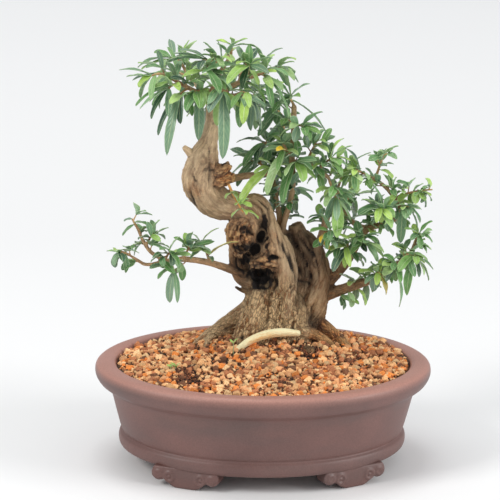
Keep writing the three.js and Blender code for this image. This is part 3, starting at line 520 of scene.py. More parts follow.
def leafMaterial():
    material, tree, shader = newMaterial("pomegranate leaf", 0.36, 0.55)
    blade = separate(tree, readAttribute(tree, "blade", "Vector"))
    tone = ramp(tree, blade["Z"], [(at, leafTones[name]) for at, name in leafRamp])
    spots = addPatches(tree, objectPlace(tree), 160.0, (0.75, 0.78, 0.7), (1.15, 1.12, 1.1))
    tone = blendColour(tree, 1.0, tone, spots["Color"], "MULTIPLY")
    # painted sheen laid over some leaves
    tone = blendColour(tree, readAttribute(tree, "paintedSheen"), tone, leafTones["paintedSheen"])
    tone = blendColour(tree, times(tree, readAttribute(tree, "under"), 0.65), tone, leafTones["under"])
    # midrib, painted sheen along the edge, and side veins
    side = maths(tree, "ABSOLUTE", blade["X"])
    rib = mapRange(tree, side, 0.03, 0.13, 1.0, 0.0)
    tone = blendColour(tree, times(tree, rib, 0.6), tone, leafTones["rib"])
    # painted sheen along the leaf's edge
    tone = blendColour(tree, mapRange(tree, side, 0.78, 1.0, 0.0, 0.4), tone, leafTones["rib"])
    slant = maths(tree, "SUBTRACT", blade["Y"], times(tree, side, leafVeins["slant"]))
    vein = maths(tree, "SINE", times(tree, slant, leafVeins["count"]))
    tone = blendColour(tree, mapRange(tree, vein, 0.8, 1.0, 0.0, 0.25), tone, leafTones["rib"])
    height = maths(tree, "SUBTRACT", times(tree, vein, -0.35), times(tree, rib, 1.2))
    wire(tree, shader, tone, (height, 0.5, 0.0003), mapRange(tree, spots["Mask"], 0, 1, 0.24, 0.38))
    return material


potLow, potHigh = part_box("pot")
pot = {
    "halfLength": potHigh.x / mm,
    "squash": potHigh.y / potHigh.x,
    "steps": 128,
    # how far in from the widest line, and how high
    "profile": [(126.4, 13), (60, 13), (25, 13), (19, 14.5), (17.6, 18.5), (18.4, 22.8), (20.6, 25),
                (19.4, 27.4), (15.7, 41), (12, 55), (9.5, 59.5), (3, 64), (0, 70), (0.6, 75), (3.8, 77.4),
                (8.5, 78), (13.8, 77.4), (15.8, 74.5), (20.5, 54), (26, 31), (36, 21.5), (80, 21.5),
                (126.4, 21.5)],
    "drainRadius": 12,
    "drainPlace": 46,
    "drill": (15, 40),  # middle and length of the drill that goes through the floor
}
foot = {
    "halfWidth": 27, "depth": 13, "top": 15.5, "place": (59.9, 61.3), "turn": 24,
    "round": 1.2,  # how far its edges are rounded, mm
    "curls": [(12.2, 8.2, 3.4), (20.5, 9.4, 2.6)],  # across, height and radius
    "cord": 1.15,  # half the thickness of a curl
    "voxel": 0.75,
}


# Smooth line through rows of numbers, the first three of which are a place. It meets each row exactly.
def splineThrough(rows, steps):
    rows = np.array(rows, float)
    first, last = 2 * rows[0] - rows[1], 2 * rows[-1] - rows[-2]
    padded = np.vstack([first, rows, last])
    out = []
    for k in range(len(rows) - 1):
        p0, p1, p2, p3 = padded[k:k + 4]
        gaps = np.diff(padded[k:k + 4], axis=0)
        d0, d1, d2 = (max(np.linalg.norm(gap[:3]), 1e-6) ** 0.5 for gap in gaps)
        t1 = ((p1 - p0) / d0 - (p2 - p0) / (d0 + d1) + (p2 - p1) / d1) * d1
        t2 = ((p2 - p1) / d1 - (p3 - p1) / (d1 + d2) + (p3 - p2) / d2) * d1
        square, cube = 3 * (p2 - p1) - 2 * t1 - t2, 2 * (p1 - p2) + t1 + t2
        for step in range(steps):
            w = step / steps
            out.append(p1 + t1 * w + square * w ** 2 + cube * w ** 3)
    out.append(rows[-1])
    return np.array(out)


def addPot():
    line = splineThrough([(pot["halfLength"] - inset, 0, z) for inset, z in pot["profile"]], 4)
    line[0, 0] = line[-1, 0] = 0.0
    body = addMesh("pot_fired", line, (), [(i, i + 1) for i in range(len(line) - 1)])
    choose(body)
    bpy.ops.object.mode_set(mode="EDIT")
    bpy.ops.mesh.select_all(action="SELECT")
    bpy.ops.mesh.spin(steps=pot["steps"], angle=math.tau, center=(0, 0, 0), axis=(0, 0, 1))
    bpy.ops.mesh.select_all(action="SELECT")
    bpy.ops.mesh.remove_doubles(threshold=1e-6)
    bpy.ops.mesh.normals_make_consistent(inside=False)
    bpy.ops.transform.resize(value=(1, pot["squash"], 1))
    bpy.ops.object.mode_set(mode="OBJECT")
    middle, length = pot["drill"]
    for side in (-1, 1):
        drill = add(bpy.ops.mesh.primitive_cylinder_add, vertices=48, radius=pot["drainRadius"] * mm,
                    depth=length * mm, location=(side * pot["drainPlace"] * mm, 0, middle * mm))
        addModifier(body, "BOOLEAN", operation="DIFFERENCE", object=drill, solver="EXACT")
        bpy.data.objects.remove(drill)
    feet = [addFoot(i, j) for i in (-1, 1) for j in (-1, 1)]
    piece = joinAll("pot_fired", [body, *feet])
    smoothShade(piece, 35)
    settle(coat(piece, clayMaterial()), "pot", "pot")
    print("pot fired")


# Points of a curve from a to c that leans towards b, without a itself.
def bend(a, b, c, steps=5):
    return [tuple((1 - t) ** 2 * p + 2 * t * (1 - t) * q + t * t * r for p, q, r in zip(a, b, c))
            for t in (k / steps for k in range(1, steps + 1))]


# One cloud foot: a middle lobe on the ground between two shoulders, with two curls on each side of the lobe.
def addFoot(i, j):
    w, top = foot["halfWidth"], foot["top"]
    half = [(0, 0), (7, 0)]
    half += bend((7, 0), (12, 1), (w - 11, 6))
    half += bend((w - 11, 6), (w - 7, 3), (w - 3, 5.5))
    half += bend((w - 3, 5.5), (w + 1.5, 9), (w - 3, top))
    outline = half + [(-x, z) for x, z in reversed(half[1:])]
    shape = add(bpy.ops.curve.primitive_nurbs_path_add)
    shape.data.splines.clear()
    shape.data.dimensions = "2D"
    shape.data.fill_mode = "BOTH"
    spline = shape.data.splines.new("POLY")
    spline.points.add(len(outline) - 1)
    for point, (x, z) in zip(spline.points, outline):
        point.co = (x * mm, z * mm, 0, 1)
    spline.use_cyclic_u = True
    shape.data.extrude = (foot["depth"] / 2 - foot["round"]) * mm
    shape.data.bevel_depth = foot["round"] * mm
    shape.data.bevel_resolution = 2
    shape.data.offset = -foot["round"] * mm
    bpy.ops.object.convert(target="MESH")
    parts = [bpy.context.object]
    parts[0].rotation_euler = (math.pi / 2, 0, 0)
    for side in (-1, 1):
        for x, z, radius in foot["curls"]:
            spot = (side * x * mm, -foot["depth"] / 2 * mm, z * mm)
            parts.append(add(bpy.ops.mesh.primitive_torus_add, major_radius=radius * mm,
                             minor_radius=foot["cord"] * mm, major_segments=28, minor_segments=10,
                             location=spot, rotation=(math.pi / 2, 0, 0)))
            parts.append(add(bpy.ops.mesh.primitive_ico_sphere_add, subdivisions=2, radius=foot["round"] * mm,
                             location=spot))
    piece = joinAll("foot", parts)
    addModifier(piece, "REMESH", mode="VOXEL", voxel_size=foot["voxel"] * mm)
    addModifier(piece, "SMOOTH", factor=0.5, iterations=2)
    settleInMesh(piece)
    facing = 0 if j < 0 else math.pi
    turn = Matrix.Rotation(math.radians(-i * j * foot["turn"]) + facing, 4, "Z")
    shift = Matrix.Translation((i * foot["place"][0] * mm, j * foot["place"][1] * mm, 0))
    low = placesOf(piece.data)[:, 2].min()
    piece.data.transform(shift @ turn @ Matrix.Translation((0, 0, -low)))
    return piece


# The limbs: how each weathers, its leafy part if it has one (from, to and the pitch of its spurs),
# and its line as rows of x, y, z and radius.
limbs = [
    # trunk, over the arch to the apex
    ("trunk", None, [(24, 34, 58, 21), (23.5, 34, 78, 24), (20, 33.5, 94.5, 23.8), (17, 33, 110.5, 22.2),
        (13, 32.5, 127.5, 19), (6, 29.5, 145.5, 17.4), (-2, 27, 163.5, 16.4), (-10.5, 24.5, 180, 14),
        (-19, 22.5, 189.5, 11.8), (-32, 22, 192.5, 12), (-43.5, 20.5, 201.5, 14.2),
        (-47.5, 19.5, 214.5, 14.7), (-45.5, 18.5, 229, 11.6), (-42, 18.5, 242, 7), (-40.5, 18, 256, 4.6),
        (-41.5, 17.5, 268.5, 3.3), (-43, 17, 275.5, 2.8)]),
    # right shoulder, broken off at the top
    ("shoulder", None, [(32, 36, 64, 15), (32, 36, 78, 18), (33, 35, 99.5, 16.4),
        (36.5, 34.5, 120.5, 16.9), (38, 33, 140, 14.5), (34, 31.5, 154.5, 11.4), (28, 30, 165.5, 8.3),
        (24.5, 28.5, 175.5, 4.9)]),
    # shell of old bark that bows out at the left of the hollow
    ("shell", None, [(1.5, 25, 122.5, 6), (-9, 23, 130, 5.4), (-18, 22, 135.5, 3.9),
        (-21.5, 21, 143.5, 3.1), (-22.5, 21, 153, 3.4), (-21, 21, 163, 4.6), (-17, 22, 172, 6.8)]),
    # wood at the back of the hollow
    ("back", None, [(-2, 36, 122, 9), (-12, 36, 139, 8.5), (-16, 35, 156, 9), (-14, 31, 173, 10)]),
    # burl under the arch
    ("lump", None, [(-13, 18, 183, 6), (-19, 14, 174, 9.5), (-18, 14, 163, 8.6), (-11, 17, 155, 6)]),
    # rough brow over the hollow
    ("brow", None, [(-10, 16, 149, 5.5), (-2, 9.5, 151.5, 6.6), (7, 9, 150, 6), (14, 12, 146, 5)]),
    # left side of the foot
    ("side", None, [(1, 25, 136, 10.5), (-2.5, 23, 119, 11), (-5, 23, 103, 12.5), (-10, 25, 86, 12),
        (-12, 26, 70, 10)]),
    # between trunk and shoulder
    ("shoulder", None, [(24, 31, 116, 14), (25, 29, 138, 12), (22, 28, 158, 7.5)]),
    # twisted cord of wood over the front of the arch
    ("cord", None, [(18.5, 19, 117, 3.6), (17, 10, 135, 6.2), (15, 7.5, 152, 6), (10, 9, 166, 6),
        (5, 11.5, 178, 5.8), (0, 14.5, 189, 6.4), (-7, 16, 195, 6.6), (-17, 18, 192.5, 6.2)]),
    # fibrous ridge down the front
    ("ridge", None, [(13, 10, 170, 3.4), (18.5, 9, 158, 4.5), (20.5, 9.5, 142, 4.9),
        (19.5, 9.5, 124.5, 4.6), (17.5, 10, 107, 3.8)]),
    # knob
    ("knob", None, [(8, 14, 156, 4.5), (5, 9, 161, 6.2), (2, 5.5, 165, 4.2)]),
    # snag
    ("snag", None, [(-47, 18, 223, 6.5), (-54, 17, 231, 4.2), (-61, 16.5, 237.5, 1.8)]),
    # burl
    ("burl", None, [(-38, 15, 217, 6), (-32, 10.5, 221.5, 5.6), (-27, 9, 226, 3)]),
    # burl
    ("burl", None, [(-38, 14, 211, 6), (-29, 10.5, 215, 5.2), (-23, 9.5, 216, 3)]),
    # short bough from the burl
    ("bough", None, [(-37, 18, 209, 4), (-31, 19, 210.5, 3.3), (-19.5, 20.5, 213.5, 2.8),
        (-7.5, 21.5, 215, 2.4), (3, 21, 216.5, 2.1)]),
    # left root and its fork
    ("root", None, [(2, 34, 112, 12), (-12, 40.5, 100, 9.2), (-26, 41.5, 91, 7.2), (-38, 39, 85, 5.4),
        (-47.5, 35, 79.5, 3.9), (-55, 28, 73, 2.8)]),
    ("root", None, [(-33, 40, 87, 4), (-41, 29.5, 81.5, 3.1), (-46, 13, 74.5, 2.2)]),
    # right roots
    ("rustRoot", None, [(34, 32, 101, 8.6), (47, 29, 95, 5.9), (58, 27, 87, 4.4), (65.5, 17, 81.5, 3.4),
        (71, 6, 74, 2.5)]),
    ("rustRoot", None, [(27, 17, 95, 6.8), (40, 17.5, 91.5, 4.2), (50, 14, 86.5, 3.4),
        (60, 9, 77.5, 2.4)]),
    # peeled dead root along the front
    ("peeled", None, [(28, 9, 95, 2.4), (14, 5.5, 97, 3.4), (1, 5.5, 95, 3.5), (-11.5, 6, 89.5, 3),
        (-24, 4, 80, 2)]),
    # cut root that stands up in front
    ("rustRoot", None, [(30, 22, 68, 6), (33, 9, 70, 5.4), (34.5, 0, 76, 5), (34, -2, 87.5, 4)]),
    ("rustRoot", None, [(10, 22, 104, 9), (3, 15, 92, 6.5), (-3, 9, 79, 3.6)]),
    ("root", None, [(27, 46, 102, 10), (31, 59, 90, 6), (36, 68, 76, 3.4)]),
    ("root", None, [(8, 46, 102, 10), (-5, 58, 88, 5.6), (-14, 64, 75, 3)]),
    # low left bough and its two arms
    ("bough", (0.6, 1, 16), [(-2.5, 28.5, 129.5, 4.6), (-17, 22, 139, 3.5), (-35.5, 15.5, 147.5, 2.7),
        (-51, 11.5, 152, 2.4), (-65.5, 8.5, 153.5, 2.1), (-78, 6.5, 151.5, 1.8), (-86, 5.5, 150, 1.5)]),
    ("bough", (0.3, 1, 9), [(-73.5, 7.5, 152.5, 1.8), (-85, 9.5, 159, 1.6), (-90.5, 11, 167, 1.5),
        (-94.5, 12, 176, 1.2)]),
    ("bough", (0.3, 1, 9), [(-84, 5.5, 150.5, 1.5), (-90, 4.5, 151, 1.4), (-95.5, 2.5, 155, 1.3),
        (-101.5, 1.5, 159, 1)]),
    # long right bough, back over the middle
    ("bough", (0.1, 1, 3.6), [(47, 34.5, 126.5, 6.9), (58, 32, 136.5, 4.6), (65.5, 29.5, 146.5, 3.8),
        (72, 26, 160, 3), (79, 23, 172.5, 2.6), (89, 19.5, 177, 2.2), (99, 16.5, 182.5, 2),
        (101, 15, 191.5, 1.8), (96, 15, 200.5, 1.6), (87, 14.5, 210, 1.5), (78.5, 14.5, 214.5, 1.3)]),
    ("bough", (0.1, 1, 3.6), [(79, 23, 172.5, 2.3), (68.5, 30.5, 176.5, 2), (62, 36, 188.5, 1.8),
        (57.5, 38.5, 199.5, 1.5)]),
    # low right bough
    ("bough", (0.15, 1, 4.5), [(44, 32.5, 117.5, 6.5), (57.5, 28.5, 122.5, 4.6), (69.5, 23.5, 128, 3.8),
        (81, 18, 134, 3.3), (90, 14, 140.5, 3)]),
    ("bough", (0.1, 1, 4), [(88, 15, 139.5, 2.6), (100, 9.5, 148.5, 1.8), (110, 5.5, 159, 1.7),
        (113.5, 4, 170, 1.2)]),
    # upright stem with a cut top, and its arm
    ("stem", (0.3, 1, 8), [(14, 24, 155, 2.8), (15.5, 22.5, 177, 2.4), (19, 21, 191, 2.2),
        (21.5, 19.5, 208.5, 2.2), (20, 18, 227, 2.3), (20.5, 16, 248.5, 2.1), (20.5, 15.5, 268, 2.1)]),
    ("stem", (0.1, 1, 4), [(20.5, 18, 224.5, 2.2), (29.5, 15, 225.5, 2.1), (37.5, 12, 221.5, 1.9),
        (46.5, 9.5, 216, 1.6)]),
    # dark stem behind it
    ("stem", (0.12, 1, 4.5), [(10, 26, 158, 2.8), (13, 27, 176, 2.4), (10, 31, 196, 2.1),
        (7.5, 35, 214, 2), (14, 37.5, 230.5, 1.8), (15, 37.5, 256.5, 1.5)]),
    # stump
    ("stem", (0.3, 1, 4.5), [(40, 24, 142, 4.6), (42.5, 18, 163.5, 3.3), (45, 15, 175, 3),
        (47, 13.5, 185, 2.7)]),
    ("bough", (0.25, 1, 9), [(-42.5, 17, 273, 2.9), (-52, 12, 279, 1.9), (-65, 6, 287, 1.6),
        (-77, 1, 294, 1.2)]),
    ("bough", (0.25, 1, 9), [(-42.5, 17, 273, 2.6), (-49, 29, 279, 1.9), (-56.5, 41, 287, 1.5),
        (-62, 49, 295.5, 1.2)]),
    ("bough", (0.25, 1, 9), [(-42.5, 17, 272, 2.6), (-38.5, 15, 284.5, 2.1), (-33, 13, 296, 1.6),
        (-27, 12, 307, 1.2)]),
    ("bough", (0.25, 1, 9), [(-42, 17, 271, 2.6), (-28, 19, 281, 2.1), (-14, 21, 287.5, 1.8),
        (0, 22, 293, 1.3)]),
    ("bough", (0.25, 1, 9), [(-42, 17, 270, 2.5), (-33.5, 5, 276.5, 1.9), (-24, -7, 280.5, 1.4)]),
    ("bough", (0.25, 1, 9), [(-42, 17, 269, 2.5), (-28.5, 33, 272.5, 1.9), (-14, 45, 270.5, 1.5)]),
    # snag
    ("rustRoot", None, [(-8, 24, 124, 2.2), (-15, 19, 126, 1.8), (-21, 16, 130, 1.1)]),
    # wood in the cleft of the shoulder
    ("shoulder", None, [(21, 27, 150, 8), (18.5, 26, 162, 5.5), (15.5, 25, 171.5, 3)]),
]
# The hollows: middle and half sizes.
hollows = [
    (-2, 11, 138.5, 8.5, 16, 9.5), (-15, 15, 148, 5, 12, 7), (-16, 4, 162, 6.5, 6, 3),
    (-14, 3, 177, 4.5, 5, 2.8), (-0.5, 4, 180, 2.4, 9, 6.5), (-3, 4, 169, 3, 10, 6), (-8, 5, 160, 3.5, 10, 5),
]


# The shoots of each group: where each starts and ends, how high it bows, pairs of leaves, their length,
# how much they sag, and leaves of its own. Of those: how far along the twig, place of the tip, and width.
shoots = {
    "apex": [
        ((-77, 1, 294), (-86.5, -4, 293), 2, 2, 22, 0.5, [(0.9, -95, -8, 286, 7)]),
        ((-64, 6, 287), (-73.5, -8, 285), 2, 2, 24, 0.7, [(0.6, -97, -6, 272, 6.5),
            (0.95, -86, -14, 264, 5.5)]),
        ((-56.5, 9, 282), (-65.5, -10, 280.5), 3, 1, 21, 0.8, [(0.75, -81, -14, 252, 6),
            (1, -75, -18, 238, 7)]),
        ((-47.5, 14, 276.5), (-55, -14, 283.5), 4, 1, 21, 0.8, [(0.6, -52, -14, 248, 8),
            (0.9, -52, -28, 274, 8), (1, -62, -30, 272, 7)]),
        ((-62, 49, 295.5), (-69, 58, 297), 2, 3, 24, 0.4, []),
        ((-55, 38, 285), (-68.5, 42, 289), 2, 3, 26, 0.6, []),
        ((-27, 12, 307), (-26.5, 10, 315.5), 1, 1, 14, 0.1, [(1, -28, 9, 320, 6),
            (0.6, -8, 20, 311, 5.5)]),
        ((-31.5, 13, 298), (-48, 2, 304.5), 2, 2, 24, 0.4, [(0.8, -65, -2, 312, 7),
            (0.3, -46, 10, 315, 5)]),
        ((-37.5, 15, 287.5), (-47, -12, 299.5), 4, 2, 24, 0.5, [(1, -38, -26, 284, 9),
            (0.5, -64, -14, 294, 7)]),
        ((0, 22, 293), (10, 20, 296.5), 2, 2, 22, 0.4, [(0.9, 20, 16, 301, 5), (1, 23, 14, 286, 6)]),
        ((-14, 21, 287.5), (-14, 4, 300.5), 3, 2, 22, 0.3, [(1, 2, 2, 306, 7), (0.8, -14, 8, 315, 6),
            (0.7, -50, -14, 298, 8), (0.9, -33, -26, 292, 8)]),
        ((-6, 21, 290.5), (-1.5, 6, 290.5), 3, 1, 21, 0.6, [(0.8, 10, -2, 282, 9), (1, 15, -2, 263, 6)]),
        ((-20.5, 20, 284.5), (-15.5, 42, 291.5), 3, 3, 24, 0.4, []),
        ((-24, -7, 280.5), (-18, -20, 284), 2, 1, 21, 0.7, [(0.5, -22, -16, 258, 7),
            (0.9, -7, -18, 257, 7), (1, -21, -30, 263, 7)]),
        ((-33.5, 5, 276.5), (-35, -18, 284.5), 4, 1, 20, 0.8, [(0.7, -39, -20, 260, 8),
            (1, -35, -26, 237, 9), (0.9, -46, -32, 272, 8)]),
        ((-14, 45, 270.5), (-4, 56, 267), 2, 3, 26, 0.6, []),
        ((-28.5, 33, 272.5), (-36, 52, 267.5), 2, 3, 26, 0.7, []),
    ],
    "stem": [
        ((20.5, 15.5, 268), (16.5, 13, 275.5), 1, 2, 20, 0.2, [(0.6, 44, 8, 249, 6), (1, 7, 14, 286, 6)]),
        ((20, 16, 254.5), (27.5, 6, 253.5), 2, 2, 20, 0.3, [(1, 37, 0, 258, 7), (0.7, 31, -4, 246, 6)]),
        ((20, 18, 230), (12.5, 4, 237.5), 2, 1, 19, 0.8, [(0.7, 0, -2, 205, 9), (1, -4, -4, 238, 7)]),
        ((20.5, 18, 222.5), (21.5, 2, 229), 2, 1, 19, 0.8, [(0.7, 12, 0, 198, 8.5),
            (1, 26, -8, 216, 9.5), (0.9, 32, -8, 225, 8)]),
    ],
    "bar": [
        ((3, 21, 216.5), (4.5, 10, 224), 1, 1, 18, 0.7, [(0.7, -20, 0, 197, 9.5), (1, -6, 4, 230, 7)]),
    ],
    "dark": [
        ((15, 37.5, 255), (9, 34, 262), 2, 2, 22, 0.4, [(0.8, -9, 30, 266, 6), (0.5, -1, 24, 258, 7)]),
        ((13, 37, 229), (-1, 34, 237), 2, 3, 22, 0.6, []),
        ((7, 35, 214.5), (-9, 42, 222), 2, 3, 22, 0.5, []),
        ((8.5, 33, 201), (24.5, 52, 196.5), 3, 3, 20, 0.5, []),
    ],
    "arm": [
        ((30.5, 14.5, 225.5), (37, 10, 242), 2, 2, 18, 0.3, [(1, 43, 4, 252, 7), (0.8, 31, 16, 252, 7)]),
        ((39, 11.5, 220.5), (48.5, 4, 231.5), 2, 2, 18, 0.5, [(0.9, 52, -6, 228, 10), (1, 63, 2, 241, 5)]),
        ((46.5, 9.5, 216), (52.5, 2, 200.5), -2, 2, 20, 0.6, [(0.9, 52, -6, 173, 9.5),
            (0.5, 36, -4, 207, 7)]),
    ],
    "right": [
        ((57.5, 38.5, 199.5), (62.5, 40, 213), 2, 3, 19, 0.4, [(1, 82, 36, 229, 4)]),
        ((62, 36, 188.5), (71.5, 56, 190.5), 3, 3, 20, 0.5, []),
        ((79, 14.5, 214.5), (65, 4, 222), 2, 3, 18, 0.5, []),
        ((82.5, 14.5, 212.5), (88.5, 12, 233.5), 2, 1, 13, 0.1, [(0.45, 95, 8, 226, 6),
            (0.35, 94, 4, 216, 7.5), (1, 90, 12, 237, 2.5)]),
        ((97.5, 15, 198.5), (125, 8, 206.5), 3, 1, 14, 0.4, [(0.35, 100, 8, 197, 7),
            (0.55, 112, 6, 196, 6.5), (0.5, 118, 8, 211, 5.5), (0.93, 124, 6, 196, 6)]),
        ((100.5, 15, 191.5), (107.5, 6, 193.5), 1, 1, 16, 0.4, [(1, 126, 2, 187, 5),
            (0.7, 104, 0, 186, 7), (0.9, 114, 2, 175, 6), (0.5, 102, 6, 166, 7.5)]),
        ((94.5, 18, 180), (85, 2, 195.5), 2, 2, 19, 0.5, [(0.9, 67, -8, 191, 9)]),
        ((74, 25, 165), (76, 8, 166), 2, 1, 18, 0.5, [(0.7, 86, 0, 175, 6.5), (1, 88, -4, 161, 6),
            (0.8, 59, 2, 179, 8)]),
        ((67, 28, 151), (61.5, 10, 162.5), 2, 1, 19, 0.7, [(0.8, 51, 2, 145, 7.5), (1, 48, 0, 162, 8),
            (0.6, 70, 6, 151, 6)]),
        ((89, 19.5, 177.5), (87.5, 38, 180.5), 3, 3, 19, 0.5, []),
    ],
    "low": [
        ((113.5, 4, 170), (115.5, 0, 175), 1, 1, 15, 0.3, [(1, 130, -2, 171, 3.5),
            (0.5, 115, -4, 164, 5), (0.8, 103, 0, 179, 5)]),
        ((109, 6, 157), (111.5, -4, 157.5), 1, 1, 17, 0.7, [(1, 125, -8, 149, 6),
            (0.8, 123, -2, 139, 5.5), (0.9, 106, -8, 129, 7), (0.6, 98, -14, 149, 8)]),
        ((102, 9, 150.5), (96.5, -2, 148.5), 1, 1, 17, 0.6, [(1, 101, -4, 119, 6), (0.8, 88, -8, 144, 8),
            (0.5, 87, -2, 154, 7)]),
        ((83, 17, 135), (85, 2, 144.5), 1, 1, 17, 0.6, [(1, 91, -2, 128, 7), (0.7, 70, 0, 145, 7),
            (0.8, 84, 8, 128, 8)]),
        ((72, 23, 128), (83, 40, 125), 3, 3, 18, 0.6, []),
    ],
    "stump": [
        ((44, 16, 169), (49, 2, 177), 1, 2, 17, 0.4, [(0.8, 33, 2, 176, 7)]),
    ],
    "young": [
        ((-30.5, 9, 217), (-17, 2, 191), -3, 0, 14, 0.1, [(0.45, -26, 0, 207, 3), (0.75, -12, 0, 203, 6),
            (1, -6, -2, 187, 6.5)]),
    ],
    "left": [
        ((-94.5, 12, 176), (-99, 12, 184), 0, 0, 16, 0.3, [(1, -105, 12, 182, 3.5),
            (0.6, -88, 8, 180, 7.5), (0.3, -106, 8, 172, 3.5)]),
        ((-88.5, 10, 163.5), (-84.6, 6.2, 172.4), 1, 1, 16, 0.4, [(1, -78, 4, 170, 4.5)]),
        ((-101.5, 1.5, 159), (-109, -1, 163), 0, 0, 18, 0.5, [(0.5, -104, -2, 146, 5.5),
            (1, -94, -6, 162, 4)]),
        ((-75, 6, 152.5), (-71.5, -4, 162.5), 1, 1, 18, 0.3, [(1, -64, -4, 174, 5),
            (0.7, -86, -4, 168, 6)]),
        ((-70.5, 7.5, 152.5), (-67.5, 1, 146), 0, 0, 22, 0.8, [(0.9, -71, -2, 123, 7),
            (1, -66, -7, 125, 4.5), (0.6, -80, 2, 140, 6)]),
        ((-61.5, 9.5, 153), (-56, 4, 163.5), 2, 1, 18, 0.3, [(1, -40, 2, 170, 4)]),
        ((-40, 14.5, 148.5), (-46.5, 16, 166.5), 0, 0, 16, 0.2, [(1, -34, 14, 176, 4),
            (0.85, -59, 10, 167, 4), (0.9, -54, 18, 161, 3.5), (0.25, -21, 8, 167, 4.5),
            (0.3, -39, 3, 153, 4)]),
    ],
}


# Where to sample a limb: places, radii, length so far and a frame that turns as little as it can.
def followLimb(rows, gap=1.4, perRow=12):
    line = splineThrough(rows, perRow)
    steps = np.linalg.norm(np.diff(line[:, :3], axis=0), axis=1)
    far = np.concatenate([[0], np.cumsum(steps)])
    marks = np.linspace(0, far[-1], max(int(far[-1] / gap), 4) + 1)
    spots = np.stack([np.interp(marks, far, line[:, n]) for n in range(3)], axis=1)
    radii = np.interp(marks, far[::perRow], [row[3] for row in rows])
    ahead = np.gradient(spots, axis=0)
    ahead /= np.linalg.norm(ahead, axis=1)[:, None]
    sides = np.empty_like(ahead)
    side = np.array([1.0, 0.0, 0.0])
    for k, way in enumerate(ahead):
        side = unit(side - way * side.dot(way))
        sides[k] = side
    return {"spots": spots, "radii": radii, "far": marks, "sides": sides, "across": np.cross(ahead, sides)}


def tube(name, spots, radii, smoothness=6):
    curve = bpy.data.curves.new(name, "CURVE")
    curve.dimensions = "3D"
    curve.bevel_depth = mm
    curve.bevel_resolution = smoothness
    curve.use_fill_caps = True
    spline = curve.splines.new("POLY")
    spline.points.add(len(spots) - 1)
    for point, spot, radius in zip(spline.points, spots, radii):
        point.co = (*(mm * spot), 1)
        point.radius = radius
    piece = bpy.data.objects.new(name, curve)
    bpy.context.scene.collection.objects.link(piece)
    choose(piece)
    bpy.ops.object.convert(target="MESH")
    return bpy.context.object


wood = {
    "voxel": 0.88,  # size of the finest lump, mm
    "foot": 74.0,  # below this the wood is under the grains, so it isn't drawn
    "stub": (1.4, 1.15),  # radius of the stub under each shoot, from its root to its end
    "blend": 1.2,  # how softly one limb passes into the next, mm
    "fibre": 3.0,  # width of the fibres, mm
    "fibreLength": 20.0,
    "swell": (9.0, 14.0),  # width and length of the swellings under them
    "knots": (3.4, 3.6),  # width and length of the lumps on burled wood
    "depth": 0.13,  # depth of the furrows, as a share of the limb's radius
    "most": 2.3,  # and their greatest depth, mm
    "cavity": 40,  # rounds of smoothing that a cavity is measured against, for the painted shade in recesses
    "ragged": 0.5,  # how uneven the hollows are
}
# old bark weathers in its own way on each limb: pale, rust, straw, bare, twist per mm, depth, lumps
looks = {
    "trunk": (0.5, 0.1, 0.1, 0, 0.012, 0.75, 0.3),
    "shoulder": (0, 0.05, 0.05, 0, 0.022, 1.3, 0.1),
    "shell": (0.3, 0.25, 0.1, 0, 0, 0.8, 0.4),
    "back": (0, 0.1, 0, 0, 0.01, 1, 0.5),
    "lump": (0.2, 0.35, 0.1, 0, 0.02, 2.1, 0.9),
    "brow": (0.2, 0.6, 0.1, 0, 0.05, 2.1, 1),
    "side": (0.05, 0.1, 0.8, 0, 0.008, 0.7, 0.5),
    "cord": (0.4, 0.1, 0.3, 0, 0.035, 1.5, 0),
    "ridge": (0.85, 0, 0.25, 0, 0.01, 1.5, 0),
    "knob": (0.6, 0.4, 0.1, 0, 0.05, 1, 0.8),
    "snag": (0.8, 0.2, 0, 0, 0.02, 0.8, 0.3),
    "burl": (0.05, 0.95, 0, 0, 0.06, 1.6, 1),
    "root": (0.45, 0.2, 0.45, 0, 0.015, 0.9, 0.1),
    "rustRoot": (0.05, 0.9, 0.15, 0, 0.015, 1.2, 0.1),
    "peeled": (0, 0, 0, 1, 0.01, 0.35, 0),
    "bough": (0.3, 0.3, 0.05, 0, 0.01, 0.7, 0.4),
    "stem": (0.4, 0.25, 0.1, 0, 0.01, 0.6, 0.4),
}


# Stains, each laid over those before it: place, size, pale, rust and straw.
stains = [
    (-46, 8, 225, 25, 0.95, 0, 0), (-45, 8, 250, 20, 0.9, 0, 0), (-38, 10, 198, 19, 0.9, 0, 0),
    (-28, 8, 217, 12, 0, 0.95, 0), (-54, 8, 206, 8, 0, 0.6, 0), (-38, 6, 228, 8, 0, 0.5, 0),
    (-48, 8, 242, 6, 0, 0.4, 0), (-18, 4, 172, 15, 0, 0.85, 0), (0, -2, 148, 11, 0, 0.8, 0),
    (5, -2, 170, 7, 0, 0.8, 0), (-30, 38, 91, 20, 0.1, 0.1, 0.75), (12, 10, 112, 26, 0, 0, 0.97),
    (15, 10, 92, 30, 0, 0, 0.97), (-14, 14, 108, 20, 0, 0, 0.85), (38, 22, 108, 20, 0, 0.15, 0.5),
    (47, 26, 94, 10, 0, 1, 0), (42, 15, 90, 9, 0, 1, 0), (58, 20, 87, 14, 0, 1, 0), (55, 9, 82, 10, 0, 1, 0),
    (68, 12, 79, 12, 0, 1, 0), (62, 24, 132, 17, 0, 0.6, 0), (82, 20, 134, 14, 0, 0.5, 0),
    (34, -2, 88, 8, 0, 0.9, 0), (-24, 19, 142, 15, 0, 0.5, 0), (19, 6, 128, 10, 0.2, 0, 0.6),
    (19, 6, 150, 11, 0.9, 0, 0.1),
]
